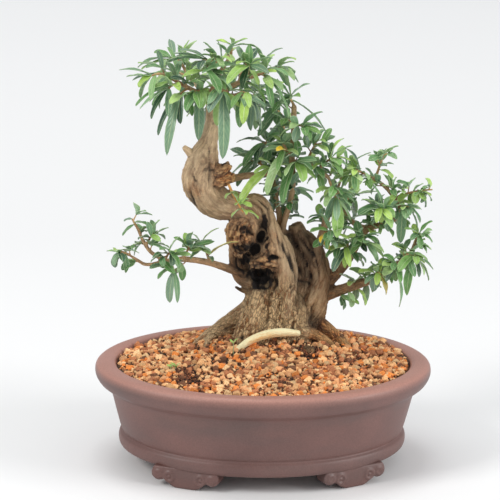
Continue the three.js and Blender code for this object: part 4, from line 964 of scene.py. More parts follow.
# Darker places, mostly painted shade in hollows, clefts and under overhangs, some darker bark: place, size
# and how dark.
shades = [
    (-24, 12, 183, 13, 0.3), (-7, 6, 132, 10, 0.85), (-16, 12, 130, 11, 0.9), (-15, 12, 120, 7, 0.6),
    (-15, 20, 148, 12, 1), (-16, 6, 161, 6, 0.9), (-8, 8, 160, 6, 0.9), (-14, 5, 177, 5, 0.9),
    (-1, 7, 178, 5, 0.8), (-3, 12, 167, 7, 0.9), (-2, 5, 173, 7, 0.85), (-4, 3, 163, 7, 0.85),
    (-9, 4, 156, 7, 0.85), (36, 18, 158, 24, 0.68), (19, 22, 163, 12, 0.8), (62, 24, 132, 17, 0.4),
    (82, 20, 134, 14, 0.35), (39, 20, 101, 9, 0.8), (34, -2, 88, 8, 0.75), (-24, 19, 142, 15, 0.4),
    (30, 16, 136, 15, 0.75), (27, 14, 120, 9, 0.6),
]


# Grooves pressed into the front of the wood and painted with shade: depth, half width and the line of each as
# x, z.
grooves = [
    (4.5, 3, [(-1, 183), (-2, 171), (-5.5, 160), (-11.5, 155.5), (-17, 150)]),
    (2.4, 1.5, [(-20, 178), (-13, 175.5), (-8, 170)]),
    (3.2, 2, [(-26, 161.5), (-19, 157), (-9, 158)]),
    (3, 2, [(-10, 144.5), (-1, 143), (8, 147)]),
    (2.6, 1.5, [(3, 172), (0, 163), (3, 156), (12, 155)]),
    (2.6, 1.6, [(12, 168), (18, 155.5), (24, 141.5), (25, 134), (20, 126)]),
    (1.8, 1.4, [(18, 131.5), (25.5, 134), (33, 132.5), (40, 128.5)]),
    (2.2, 1.3, [(19, 169), (30, 154), (36, 138.5), (39, 132)]),
    (2, 1.2, [(26, 169), (37, 155.5), (43, 143), (44, 128)]),
    (1.8, 1.2, [(21, 160), (27, 144.5), (30, 137)]),
    (2.4, 1.5, [(8, 140), (10, 132.5), (8, 125)]),
    (2.2, 1.2, [(-6, 200), (2, 192), (3, 183), (1, 177)]),
    (2, 1.2, [(-11, 197.5), (-3.5, 191.5), (-1, 185)]),
    (1.6, 1.1, [(-19, 197), (-9, 191)]),
    (1.6, 1.8, [(-58, 206), (-54.5, 196.5), (-50, 187.5)]),
    (1.2, 0.9, [(-49.5, 230), (-47, 232.5), (-44.5, 230), (-44.5, 227), (-47, 225.5), (-49.5, 227.5)]),
    (1.4, 1.5, [(-42.5, 237), (-40.5, 221.5), (-42, 209)]),
    (0.9, 1.2, [(-57, 222), (-53, 214), (-48, 210)]),
    (0.9, 1.3, [(-51, 236), (-55, 226), (-57, 216)]),
    (0.8, 1.2, [(-44, 204), (-38, 198), (-30, 194)]),
]


# How near each front-facing place is to a groove, from 0 to 1, and how deep it is pressed in.
def pressGrooves(places, normals):
    near, depth = np.zeros(len(places)), np.zeros(len(places))
    front = np.clip(1.4 * (0.15 - normals[:, 1]), 0, 1)
    flat = places[:, [0, 2]]
    for most, wide, line in grooves:
        line = np.array(line, float)
        share = np.linspace(0, len(line) - 1, 8 * (len(line) - 1) + 1)
        dots = np.column_stack([np.interp(share, range(len(line)), line[:, n]) for n in (0, 1)])
        box = ((flat > dots.min(axis=0) - 3 * wide) & (flat < dots.max(axis=0) + 3 * wide)).all(axis=1)
        gaps = np.linalg.norm(flat[box][:, None] - dots[None], axis=2)
        nearest = gaps.argmin(axis=1)
        # a groove starts and ends shallow
        ends = np.minimum(1, 0.35 + 2.6 * np.minimum(nearest, len(dots) - 1 - nearest) / len(dots))
        weight = np.exp(-(gaps.min(axis=1) / wide) ** 2) * front[box] * ends
        near[box] = np.maximum(near[box], weight * min(most / 2.4, 1))
        depth[box] = np.maximum(depth[box], most * weight)
    return near, depth


# The two nearest limbs of each place: which they are, how near, and the place unrolled along each of them.
def unrollOn(paths, places):
    spots, radii, sides, across = (np.concatenate([path[key] for path in paths])
                                   for key in ("spots", "radii", "sides", "across"))
    counts = [len(path["spots"]) for path in paths]
    owner = np.repeat(np.arange(len(paths)), counts)
    twist = np.repeat([path["twist"] for path in paths], counts)
    # each limb starts elsewhere in the pattern
    far = np.concatenate([path["far"] + 61.0 * n for n, path in enumerate(paths)])
    found = []
    for here in np.array_split(places, max(len(places) // 4000, 1)):
        squares = (here ** 2).sum(1)[:, None] + (spots ** 2).sum(1)[None] - 2 * here @ spots.T
        gaps = np.sqrt(np.maximum(squares, 0)) - radii[None]
        first = gaps.argmin(axis=1)
        other = np.where(owner[None] == owner[first][:, None], 1e3, gaps)
        second = other.argmin(axis=1)
        rows = [owner[first], gaps.min(axis=1), owner[second], other.min(axis=1)]
        for pick in (first, second):
            off = here - spots[pick]
            x = (off * sides[pick]).sum(1)
            y = (off * across[pick]).sum(1)
            turn = far[pick] * twist[pick]
            rows += [x * np.cos(turn) + y * np.sin(turn), y * np.cos(turn) - x * np.sin(turn)]
            rows += [far[pick], radii[pick]]
        found.append(np.stack(rows, axis=1))
    return np.concatenate(found)


# Furrows along the wood, or lumps where it is burled, from about -1 in a furrow to 1 on a lump.
def furrows(x, y, far, lumps):
    wide, long = wood["fibre"], wood["fibreLength"]
    swellWide, swellLong = wood["swell"]
    knotWide, knotLong = wood["knots"]
    values = np.empty(len(x))
    for k in range(len(x)):
        broad = noise.noise(Vector((x[k] / wide / 2.6, y[k] / wide / 2.6, far[k] / long / 1.7)))
        narrow = noise.noise(Vector((x[k] / wide, y[k] / wide, far[k] / long + 7)))
        swell = noise.noise(Vector((x[k] / swellWide, y[k] / swellWide, far[k] / swellLong + 31)))
        values[k] = 0.9 * min(4 * abs(broad), 1) + 0.5 * min(3.6 * abs(narrow), 1) - 1.0 + 0.6 * swell
        if lumps[k] > 0.15:
            spot = Vector((x[k] / knotWide, y[k] / knotWide, far[k] / knotLong + 11))
            knots = 1.2 - 2.9 * noise.voronoi(spot)[0][0] + 0.5 * noise.noise(spot * 2.1)
            values[k] += (knots - values[k]) * lumps[k]
    return values


# How deep each place lies below the smoothed surface round it, in mm.
def cavityOf(mesh, places, normals):
    edges = np.empty(len(mesh.edges) * 2, dtype=np.int64)
    mesh.edges.foreach_get("vertices", edges)
    a, b = edges.reshape(-1, 2).T
    size = len(places)
    count = np.bincount(a, minlength=size) + np.bincount(b, minlength=size)
    smooth = places.copy()
    for _ in range(wood["cavity"]):
        total = np.stack([np.bincount(a, smooth[b, n], size) + np.bincount(b, smooth[a, n], size)
                          for n in range(3)], axis=1)
        smooth = 0.4 * smooth + 0.6 * total / count[:, None]
    return ((smooth - places) * normals).sum(1)


# Cuts one hollow, an uneven ball, out of every limb that it reaches.
def carve(place, tubes, paths):
    centre, radii = np.array(place[:3]), place[3:]
    hollow = settleInMesh(add(bpy.ops.mesh.primitive_uv_sphere_add, segments=24, ring_count=16,
                              location=Vector(centre) * mm, scale=Vector(radii) * mm))
    spots = placesOf(hollow.data) / mm
    swell = np.array([1 + wood["ragged"] * noise.noise(Vector(spot) / 4.5) for spot in spots])
    setPlaces(hollow.data, (centre + (spots - centre) * swell[:, None]) * mm)
    for piece, path in zip(tubes, paths):
        if (np.linalg.norm(path["spots"] - centre, axis=1) - path["radii"]).min() < max(radii):
            addModifier(piece, "BOOLEAN", operation="DIFFERENCE", object=hollow, solver="EXACT")
    bpy.data.objects.remove(hollow)


# The limbs as one skin of wood, hollowed, with a stub for each shoot and cut off under the grains.
def skinOf(paths):
    tubes = [tube(f"limb {n}", path["spots"], path["radii"]) for n, path in enumerate(paths)]
    for place in hollows:
        carve(place, tubes, paths)
    for shoot in grown:
        spots = np.array([bezier(shoot, t) for t in np.linspace(0, shoot["start"], 4)])
        tubes.append(tube("stub", spots, np.linspace(*wood["stub"], 4), 2))
    piece = joinAll("trunk_wood", tubes)
    addModifier(piece, "REMESH", mode="VOXEL", voxel_size=wood["voxel"] * mm)
    addModifier(piece, "SMOOTH", factor=0.5, iterations=2)
    choose(piece)
    bpy.ops.object.mode_set(mode="EDIT")
    bpy.ops.mesh.select_all(action="SELECT")
    bpy.ops.mesh.bisect(plane_co=(0, 0, wood["foot"] * mm), plane_no=(0, 0, 1),
                        clear_inner=True, use_fill=True)
    bpy.ops.object.mode_set(mode="OBJECT")
    return piece


# How pale, rusty and straw-coloured each place is, and how dark with painted shade and darker bark.
def weather(places, normals, look):
    dark = np.zeros(len(places))
    for x, y, z, size, *tones in stains:
        weight = fade(places, (x, y, z), size)
        for n in range(3):
            look[:, n] += (tones[n] - look[:, n]) * weight * max(tones)
    for x, y, z, size, amount in shades:
        dark = np.maximum(dark, fade(places, (x, y, z), size) * amount)
    ragged = np.array([noise.noise(Vector(place) / 3.5) for place in places])
    # painted shade inside each hollow, darker the deeper it lies
    for place in hollows:
        off = (places - place[:3]) / place[3:]
        inside = np.clip(3.4 - 2.2 * (np.linalg.norm(off, axis=1) + 0.4 * ragged), 0, 1)
        dark = np.maximum(dark, inside * np.clip(1.3 + 1.6 * off[:, 1], 0, 1))
    # painted shade: surfaces that face down are made less pale
    look[:, 0] *= 1 - 0.6 * np.clip(-normals[:, 2], 0, 1)
    return look, dark


# How strong a stain is at each place: full near its middle, and then ever fainter.
def fade(places, middle, size):
    return np.clip(1.4 * np.exp(-(np.linalg.norm(places - middle, axis=1) / size) ** 2 * 1.6), 0, 1)


def addTrunk():
    paths = [dict(followLimb(rows), twist=looks[look][4]) for look, leafy, rows in limbs]
    piece = skinOf(paths)
    mesh = piece.data
    places, normals = placesOf(mesh) / mm, normalsOf(mesh)
    near = unrollOn(paths, places)
    table = np.array([looks[look] for look, leafy, rows in limbs])
    first, second = near[:, 0].astype(int), near[:, 2].astype(int)
    share = 1 / (1 + np.exp(-np.clip((near[:, 3] - near[:, 1]) / wood["blend"], -20, 20)))
    relief = share * furrows(*near[:, 4:7].T, table[first, 6])
    relief += (1 - share) * furrows(*near[:, 8:11].T, table[second, 6])
    depth = np.minimum(wood["depth"] * near[:, 7], wood["most"])
    depth *= share * table[first, 5] + (1 - share) * table[second, 5]
    low = np.clip((places[:, 2] - wood["foot"]) / 3, 0, 1)
    groove, pressed = pressGrooves(places, normals)
    setPlaces(mesh, (places + normals * (relief * depth * low - pressed)[:, None]) * mm)
    places, normals = placesOf(mesh) / mm, normalsOf(mesh)
    look = table[first, :3] * share[:, None] + table[second, :3] * (1 - share)[:, None]
    look, dark = weather(places, normals, look)
    keepOnPoints(mesh, "look", np.column_stack([look, np.ones(len(look))]), "color")
    keepOnPoints(mesh, "bare", np.where(near[:, 1] < near[:, 3] - 0.6, table[first, 3], 0.0))
    # painted shade in the hollows, clefts and grooves, and darker bark
    keepOnPoints(mesh, "shade", np.maximum(dark, 0.8 * groove))
    # cavity depth, painted as shade in recesses and as highlight on raised parts
    keepOnPoints(mesh, "cavity", cavityOf(mesh, places, normals))
    # the grooves also deepen the painted shade of the furrows
    keepOnPoints(mesh, "relief", relief - groove)
    keepOnPoints(mesh, "grain", near[:, 4:7] * mm, "vector")
    smoothShade(piece, 80)
    settle(coat(piece, barkMaterial()), "bark", "trunk")
    print("trunk carved,", len(mesh.polygons), "faces")


# How shoots grow: each leaf is tried in a few places until it is clear of the wood and of other shoots.
twig = {
    "root": 1.15,  # radius at its root and at its tip, mm
    "tip": 0.55,
    "stub": 1.6,  # how far the stub under it stands out of the wood
    "last": 0.94,  # how far along it the last leaves grow
    "sink": 0.3,  # how deep each leaf's foot lies in it
    "tries": 9,  # places tried for each leaf
}
# how far a leaf stays from other leaves, from those of its own shoot and from the wood, mm
clear = {"leaf": 2.6, "sameShoot": 1.5, "wood": 1.3}
thickest = 26.0  # more than the radius of any limb, mm
reach = {"x": 125.8, "y": 97, "z": 320.2, "low": 100}  # no leaf goes past these
bladeRise = 0.3  # how far a leaf's edges stand above its midrib, as a share of half its width
up = np.array([0.0, 0.0, 1.0])


def unit(v):
    return v / np.linalg.norm(v)


def bezier(shoot, t):
    a, b, c = shoot["path"]
    return (1 - t) ** 2 * a + 2 * t * (1 - t) * b + t * t * c


def bezierWay(shoot, t):
    a, b, c = shoot["path"]
    return unit(2 * (1 - t) * (b - a) + 2 * t * (c - b))


def twigSpot(shoot, t):
    joints = [0, shoot["start"], (shoot["start"] + 1) / 2, 1]
    k = next(n for n in (1, 2, 3) if t <= joints[n])
    part = (t - joints[k - 1]) / (joints[k] - joints[k - 1])
    return bezier(shoot, joints[k - 1]) * (1 - part) + bezier(shoot, joints[k]) * part


def leafFrame(leaf):
    along = leaf["tip"] - leaf["root"]
    length = np.linalg.norm(along)
    along = along / length
    level = np.cross(along, up)
    level = unit(level) if np.linalg.norm(level) >= 0.02 else np.array([1.0, 0.0, 0.0])
    face = np.cross(level, along)
    roll = leaf["roll"]
    side = level * math.cos(roll) + face * math.sin(roll)
    normal = face * math.cos(roll) - level * math.sin(roll)
    return along, side, normal, length, length / (2 * math.sin(leaf["bend"] / 2))


# Places on a leaf's arched surface: t from root to tip, across from edge to edge, above in mm.
def leafSurface(leaf, t, across, above, half):
    along, side, normal, length, radius = leafFrame(leaf)
    angle = leaf["bend"] * (t - 0.5)
    height = radius * (np.cos(angle) - math.cos(leaf["bend"] / 2))
    lift = above + bladeRise * half * np.abs(across)
    return (leaf["root"] + np.outer(length / 2 + (radius + lift) * np.sin(angle), along)
            + np.outer(height + lift * np.cos(angle), normal) + np.outer(half * across, side))


def halfWidth(leaf, t):
    return 0.5 * leaf["width"] * np.maximum(np.sin(np.pi * t ** 1.1), 0) ** 0.75


# where a leaf is tested: three places across at each of six steps along
sampleStep = np.repeat(np.arange(1, 7), 3)
sampleT = sampleStep / 6
sampleAcross = np.tile([-1.0, 0.0, 1.0], 6)


def sunk(root, tip):
    return root - unit(tip - root) * twig["sink"]


# What lies near enough to a leaf to be worth a closer look.
def nearTo(spots, rows, margin):
    centre = spots.mean(axis=0)
    span = np.linalg.norm(spots - centre, axis=1).max() + margin
    return rows[(np.abs(rows[:, :3] - centre) < span).all(axis=1)]


def isBlocked(spots, owner, balls, taken, room=clear):
    if (np.abs(spots[:, :2]) > (reach["x"], reach["y"])).any():
        return True
    if (spots[:, 2] > reach["z"]).any() or (spots[:, 2] < reach["low"]).any():
        return True
    foreign = nearTo(spots, balls[balls[:, 4] != owner], thickest)
    gaps = np.linalg.norm(spots[:, None] - foreign[None, :, :3], axis=2)
    if (gaps < foreign[None, :, 3] + room["wood"]).any():
        return True
    if not taken:
        return False
    rows = nearTo(spots, np.concatenate(taken), room["leaf"])
    gaps = np.linalg.norm(spots[:, None] - rows[None, :, :3], axis=2)
    same = rows[:, 4] == owner
    least = np.where(same, room["sameShoot"], room["leaf"])
    young = same[None] & ((sampleStep[:, None] < 2) | (rows[None, :, 3] < 2))
    return bool(((gaps < least[None]) & ~young).any())


def settleLeaf(choices, owner, balls, taken, room=clear):
    for leaf in choices:
        spots = leafSurface(leaf, sampleT, sampleAcross, 0.0, halfWidth(leaf, sampleT))
        if not isBlocked(spots, owner, balls, taken, room):
            taken.append(np.column_stack([spots, sampleStep, np.full(len(spots), owner)]))
            return [leaf]
    return []


def ownChoices(own, shoot):
    t, x, y, z, width = own
    root = twigSpot(shoot, min(max(t, shoot["start"] + 1.4 / shoot["length"]), twig["last"]))
    for dy, dz in ((0, 0), (-3, 0), (3, 0), (-6, 1), (6, 1), (-9, 2), (9, 2), (-12, 3), (12, 3)):
        tip = np.array([x, y + dy, z + dz], float)
        yield {"root": sunk(root, tip), "tip": tip, "width": width, "bend": 0.7, "roll": 0.15}


def ruleChoices(shoot, k, hand, draw):
    last = k == shoot["pairs"]
    first = max(0.45, shoot["start"] + 0.1)
    t = twig["last"] if last else first + (twig["last"] - first) * (k + 0.5) / shoot["pairs"]
    size, spread, turn, droop, tilt = (draw() for _ in range(5))
    ahead = bezierWay(shoot, t)
    level = unit(np.cross(ahead, up))
    face = np.cross(level, ahead)
    root = twigSpot(shoot, t)
    for n in range(twig["tries"]):
        angle = (1.2 if k % 2 else 0.2) + turn - 0.5 + (0.6 if n % 2 else -0.6) * math.ceil(n / 2)
        opening = (0.45 if last else 0.85) + 0.4 * spread
        out = hand * math.sin(opening)
        way = ahead * math.cos(opening) + level * out * math.cos(angle) + face * out * math.sin(angle)
        way[2] -= shoot["sag"] * (0.5 + 0.6 * droop)
        length = shoot["leaf"] * (0.8 + 0.4 * size) * (1 - 0.04 * n)
        tip = root + unit(way) * length
        yield {"root": sunk(root, tip), "tip": tip, "width": (3 + 0.13 * length) * (0.85 + 0.3 * spread),
               "bend": 0.3 + 0.8 * droop, "roll": 1.2 * (tilt - 0.5)}


# The wood as balls: four along each stretch of a limb, with -1 as their owner.
def ballsOfWood():
    balls = []
    for look, leafy, rows in limbs:
        rows = np.array(rows, float)
        for a, b in zip(rows, rows[1:]):
            balls += [a + (b - a) * k / 4 for k in range(4)]
        balls.append(rows[-1])
    return np.array([[*ball, -1] for ball in balls])


def growShoots():
    balls = ballsOfWood()
    grownShoots, twigBalls = [], []
    for group, rows in shoots.items():
        for n, (start, end, bow, pairs, leaf, sag, own) in enumerate(rows):
            start, end = np.array(start, float), np.array(end, float)
            near = balls[np.linalg.norm(balls[:, :3] - start, axis=1).argmin()]
            length = np.linalg.norm(end - start)
            shoot = {"name": f"shoot_{group}_{n + 1:02d}", "group": group, "pairs": pairs, "leaf": leaf,
                     "sag": sag, "own": own, "path": (start, (start + end) / 2 + up * bow, end),
                     "length": length, "start": (near[3] + twig["stub"]) / length, "leaves": [], "spurs": []}
            twigBalls += [[*bezier(shoot, k / 8), twig["root"], len(grownShoots)] for k in range(9)]
            grownShoots.append(shoot)
    balls = np.vstack([balls, twigBalls])
    taken = []
    for owner, shoot in enumerate(grownShoots):
        for own in shoot["own"]:
            shoot["leaves"] += settleLeaf(ownChoices(own, shoot), owner, balls, taken)
    for owner, shoot in enumerate(grownShoots):
        draw = makeDraws(owner + 11)
        for k in range(shoot["pairs"] + 1 if shoot["pairs"] else 0):
            for hand in (1, -1):
                shoot["leaves"] += settleLeaf(ruleChoices(shoot, k, hand, draw), owner, balls, taken)
    print("leaves grown,", sum(len(shoot["leaves"]) for shoot in grownShoots))
    addSpurs(grownShoots, balls, taken)
    print("with those on spurs,", sum(len(shoot["leaves"]) for shoot in grownShoots))
    return grownShoots


spurs = {
    "pitch": {"apex": 14.0, "right": 4.4, "low": 4.6, "stump": 4.0},  # along a leafy twig, mm
    "usual": 6.5,
    "last": 0.97,  # how far along the twig they go
    "length": (2.5, 6.0),
    "radii": (0.65, 0.5, 0.42),
    "leaves": (3, 5),
    "turns": 3,  # places tried for each leaf
    # smallest and largest size against the shoot's own leaves, least width, and width gained per mm of length
    "narrow": (0.6, 1.0, 3.0, 0.12),
    "broad": (0.5, 0.85, 3.0, 0.24),
}
tight = {"leaf": 1.1, "sameShoot": 0.9, "wood": 0.5}  # the same for leaves on spurs


# A short spur with a few leaves at its end. The leaves join the nearest shoot.
def addSpur(owner, shoot, base, ahead, draw, balls, taken):
    side = unit(np.cross(ahead, up if abs(ahead[2]) < 0.9 else [1.0, 0.0, 0.0]))
    turn = math.tau * draw()
    out = side * math.cos(turn) + np.cross(side, ahead) * math.sin(turn)
    low, high = spurs["length"]
    way = unit(out + ahead * (0.2 + 0.5 * draw()) + up * 0.35)
    end = base + way * (low + (high - low) * draw())
    fewest, most = spurs["leaves"]
    count = fewest + int((most - fewest + 1) * draw())
    across = unit(np.cross(way, side + 0.01))
    other = np.cross(way, across)
    small, large, least, gain = spurs["narrow" if shoot["group"] == "apex" else "broad"]
    found = []
    for k in range(count):
        size, opening, droop, tilt, start = (draw() for _ in range(5))
        length = shoot["leaf"] * (small + (large - small) * size)
        choices = []
        for n in range(spurs["turns"]):
            angle = math.tau * (k + start * 0.5 + n * 0.37) / count
            spread = 0.5 + 0.7 * opening
            aside = across * math.cos(angle) + other * math.sin(angle)
            lean = way * math.cos(spread) + aside * math.sin(spread)
            lean[2] -= shoot["sag"] * (0.3 + 0.6 * droop)
            tip = end + unit(lean) * length * (1 - 0.12 * n)
            width = (least + gain * length) * (0.8 + 0.3 * tilt)
            choices.append({"root": sunk(end, tip), "tip": tip, "width": width, "bend": 0.3 + 0.8 * droop,
                            "roll": 1.2 * (tilt - 0.5)})
        found += settleLeaf(choices, owner, balls, taken, tight)
    if found:
        shoot["leaves"] += found
        shoot["spurs"].append((base, end))


# Spurs along the twigs and along the leafy part of each bough.
def addSpurs(grownShoots, balls, taken):
    for owner, shoot in enumerate(grownShoots):
        draw = makeDraws(owner * 31 + 57)
        first = shoot["start"] + 1.5 / shoot["length"]
        pitch = spurs["pitch"].get(shoot["group"], spurs["usual"])
        count = int((spurs["last"] - first) * shoot["length"] / pitch + draw())
        for k in range(count):
            t = first + (spurs["last"] - first) * (k + 0.5 + 0.5 * (draw() - 0.5)) / count
            addSpur(owner, shoot, bezier(shoot, t), bezierWay(shoot, t), draw, balls, taken)
    middles = np.array([bezier(shoot, 0.6) for shoot in grownShoots])
    for n, (look, leafy, rows) in enumerate(limbs):
        if not leafy:
            continue
        low, high, pitch = leafy
        path = followLimb(rows)
        draw = makeDraws(n * 17 + 5)
        far = low * path["far"][-1] + pitch * draw()
        while far < high * path["far"][-1]:
            k = int(np.searchsorted(path["far"], far))
            ahead = np.cross(path["sides"][k], path["across"][k])
            base = path["spots"][k]
            owner = int(np.linalg.norm(middles - base, axis=1).argmin())
            addSpur(owner, grownShoots[owner], base, ahead, draw, balls, taken)
            far += pitch * (0.6 + 0.8 * draw())


leafForm = {
    "thickness": 0.36,
    "steps": 9,
    "petiole": 0.42,  # half the width of its stalk, mm
    "wave": 0.06,  # height of the waves along its edge, as a share of its width
    "full": 0.58,  # the most painted sheen that a leaf has
    "paintedSheen": 0.4,  # the most that a leaf has
}


# One leaf as places on its surface: across, along and above, with its faces.
def modelLeaf():
    leaf = add(bpy.ops.mesh.primitive_grid_add, x_subdivisions=2, y_subdivisions=leafForm["steps"], size=2)
    places, faces = takeForm(addModifier(leaf, "SOLIDIFY", thickness=0.2, offset=0))
    along = np.clip((places[:, 1] + 1) / 2, 0, 1)
    return np.clip(places[:, 0], -1, 1), along, np.sign(places[:, 2]), faces


# Gives the places and faces of a model and removes it.
def takeForm(model):
    form = placesOf(model.data), [tuple(face.vertices) for face in model.data.polygons]
    bpy.data.objects.remove(model)
    return form


def leafPlaces(leaf, form, shift):
    across, along, above = form[:3]
    t = 0.6 * (0.5 - 0.5 * np.cos(np.pi * along)) + 0.4 * along  # closer together at the ends
    half = 0.5 * leaf["width"] * np.maximum(np.sin(np.pi * t ** 1.15), 0) ** leafForm["full"]
    half = np.maximum(half, np.where(t < 0.5, leafForm["petiole"], 0.1))
    spots = leafSurface(leaf, t, across, above * leafForm["thickness"] / 2, half)
    normal = leafFrame(leaf)[2]
    ripple = leafForm["wave"] * leaf["width"] * across * np.sin(2 * np.pi * (1.7 * t + shift))
    return spots + np.outer(ripple, normal)


# Many leaves as one mesh. Each row is a leaf, how far its waves are shifted, and its tint.
def addLeaves(name, form, rows):
    across, along, _, faces = form
    count = len(across)
    places = np.concatenate([leafPlaces(leaf, form, shift) for leaf, shift, _ in rows])
    polygons = [tuple(n * count + corner for corner in face) for n in range(len(rows)) for face in faces]
    foliage = addMesh(name, places, polygons)
    tinted = [np.column_stack([across, along, np.full(count, tint)]) for _, _, tint in rows]
    keepOnPoints(foliage.data, "blade", np.concatenate(tinted), "vector")
    smoothShade(foliage, 60)
    return foliage


def addShoots():
    form = modelLeaf()
    pickLeaves(grown)
    leafFinish, usual, young = leafMaterial(), mixedMaterial("twig bark"), mixedMaterial("young twig bark")
    for owner, shoot in enumerate(grown):
        draw = makeDraws(owner * 7 + 1009)
        spots = np.array([bezier(shoot, t) for t in np.linspace(shoot["start"] * 0.9, 1, 9)])
        radii = np.linspace(twig["root"] * 0.95, twig["tip"], 9)
        stems = [tube(shoot["name"] + "_twig", spots, radii, 2)]
        for base, end in shoot["spurs"]:
            stems.append(tube("spur", np.array([base, (base + end) / 2, end]), spurs["radii"], 1))
        stem = joinAll("stem", stems)
        rows, paintedSheens = [], []
        for leaf in shoot["leaves"]:
            rows.append((leaf, draw(), tintOf(shoot, leaf, draw)))
            paintedSheens.append(leafForm["paintedSheen"] * max(0, 2 * draw() - 1))
        foliage = addLeaves("leaves", form, rows)
        keepOnPoints(foliage.data, "under", np.tile(form[2] < 0, len(rows)))
        keepOnPoints(foliage.data, "paintedSheen", np.repeat(paintedSheens, len(form[2])))
        coat(stem, young if shoot["group"] == "young" else usual)
        piece = joinAll(shoot["name"] + "_grown", [stem, coat(foliage, leafFinish)])
        settle(piece, "leaf", shoot["name"])
    print("shoots dressed")


# Tint of a leaf from 0 for dark to 0.9 for lime: how light each group is, and how much its leaves differ.
tints = {
    "apex": (0.50, 0.75), "stem": (0.54, 0.65), "bar": (0.60, 0.50), "dark": (0.26, 0.40),
    "arm": (0.54, 0.60), "right": (0.56, 0.65), "low": (0.50, 0.65), "stump": (0.40, 0.50),
    "young": (0.87, 0.05), "left": (0.42, 0.50),
}
# places, across and up, whose foremost leaf is old and yellow (tint 1) or a fresh lime green
odd = [
    (0.88, [(-6, 208), (-2, 213), (20, 300), (-26, 318), (62, 214), (84, 190), (96, 164)]),
    (1.0, [(13, 239), (-21, 152), (40, 170), (45, 164), (87, 131)]),
]


def pickLeaves(grownShoots):
    leaves = [leaf for shoot in grownShoots for leaf in shoot["leaves"]]
    middles = np.array([(leaf["root"] + leaf["tip"]) / 2 for leaf in leaves])
    for tint, spots in odd:
        for x, z in spots:
            gaps = np.hypot(middles[:, 0] - x, middles[:, 2] - z)
            leaves[(gaps + 0.15 * middles[:, 1]).argmin()]["tint"] = tint


def tintOf(shoot, leaf, draw):
    middle, spread = tints[shoot["group"]]
    fall = leaf["root"] - leaf["tip"]
    hanging = max(0, fall[2] / np.linalg.norm(fall) - 0.5)
    tint = middle + spread * (draw() + draw() - 1) - 0.4 * hanging
    return leaf.get("tint", float(np.clip(tint, 0.0, 0.9)))


soil = {
    "rim": 73.5, "mound": 15, "x": 16, "y": 24, "reachX": 72, "reachY": 50,
    "inset": 16.4,  # from the pot's widest line to the edge of the grains
    "highest": 110,  # wood above this can't touch a grain
    "pitch": 3.2,
    "sizes": (1.9, 5.6),
    "small": 4.0,  # grains under this size have fewer faces
    "upper": {"share": 0.4, "size": 0.9, "lift": 1.5},  # a second, looser layer on the first
    "colours": [((0.80, 0.40, 0.18), 5), ((0.88, 0.49, 0.22), 5), ((0.82, 0.27, 0.06), 3),
                ((0.20, 0.085, 0.04), 2), ((0.88, 0.57, 0.29), 4), ((0.52, 0.20, 0.085), 4)],
    # patches where the dark humus shows: across, back, reach and share
    "humus": [(-58, -42, 15, 1.0), (-64, -24, 8, 0.8), (32, -3, 10, 1.0), (-32, -42, 8, 0.7),
              (66, -12, 11, 0.5), (8, -52, 9, 0.5)],
}
bedLength = pot["halfLength"] - soil["inset"]  # half the length of the bed, mm


def moundHeight(x, y):
    return soil["rim"] + soil["mound"] * np.exp(-((x - soil["x"]) / soil["reachX"]) ** 2
                                                - ((y - soil["y"]) / soil["reachY"]) ** 2)


# From 0 in the middle of the bed to 1 at its edge, squared.
def outward(x, y):
    return (x / bedLength) ** 2 + (y / bedLength / pot["squash"]) ** 2


# Many small bits as one piece that lies on the soil. Each bit is its places, faces and colour.
def heapUp(name, bits):
    faces, start = [], 0
    for places, sides, tone in bits:
        faces += [tuple(start + corner for corner in side) for side in sides]
        start += len(places)
    piece = addMesh(name, np.concatenate([places for places, sides, tone in bits]), faces)
    colours = [np.tile([*tone, 1], (len(places), 1)) for places, sides, tone in bits]
    keepOnPoints(piece.data, "grainColour", np.concatenate(colours), "color")
    settle(coat(piece, grainMaterial()), "soil")


# A few angular grains: the large ones are chipped blocks, the small ones plain pebbles.
def modelGrains(large, count=4):
    shapes = []
    draw = makeDraws(77 if large else 78)
    for _ in range(count):
        if large:
            grain = add(bpy.ops.mesh.primitive_cube_add, size=1)
        else:
            grain = add(bpy.ops.mesh.primitive_ico_sphere_add, subdivisions=1, radius=0.6)
        places = placesOf(grain.data)
        places *= [0.75 + 0.5 * draw(), 0.7 + 0.45 * draw(), 0.6 + 0.35 * draw()]
        places += np.array([[draw() - 0.5 for _ in range(3)] for _ in places]) * (0.34 if large else 0.26)
        setPlaces(grain.data, places)
        if large:
            addModifier(grain, "BEVEL", width=0.13, segments=1, limit_method="NONE")
        shapes.append(takeForm(grain))
    return shapes


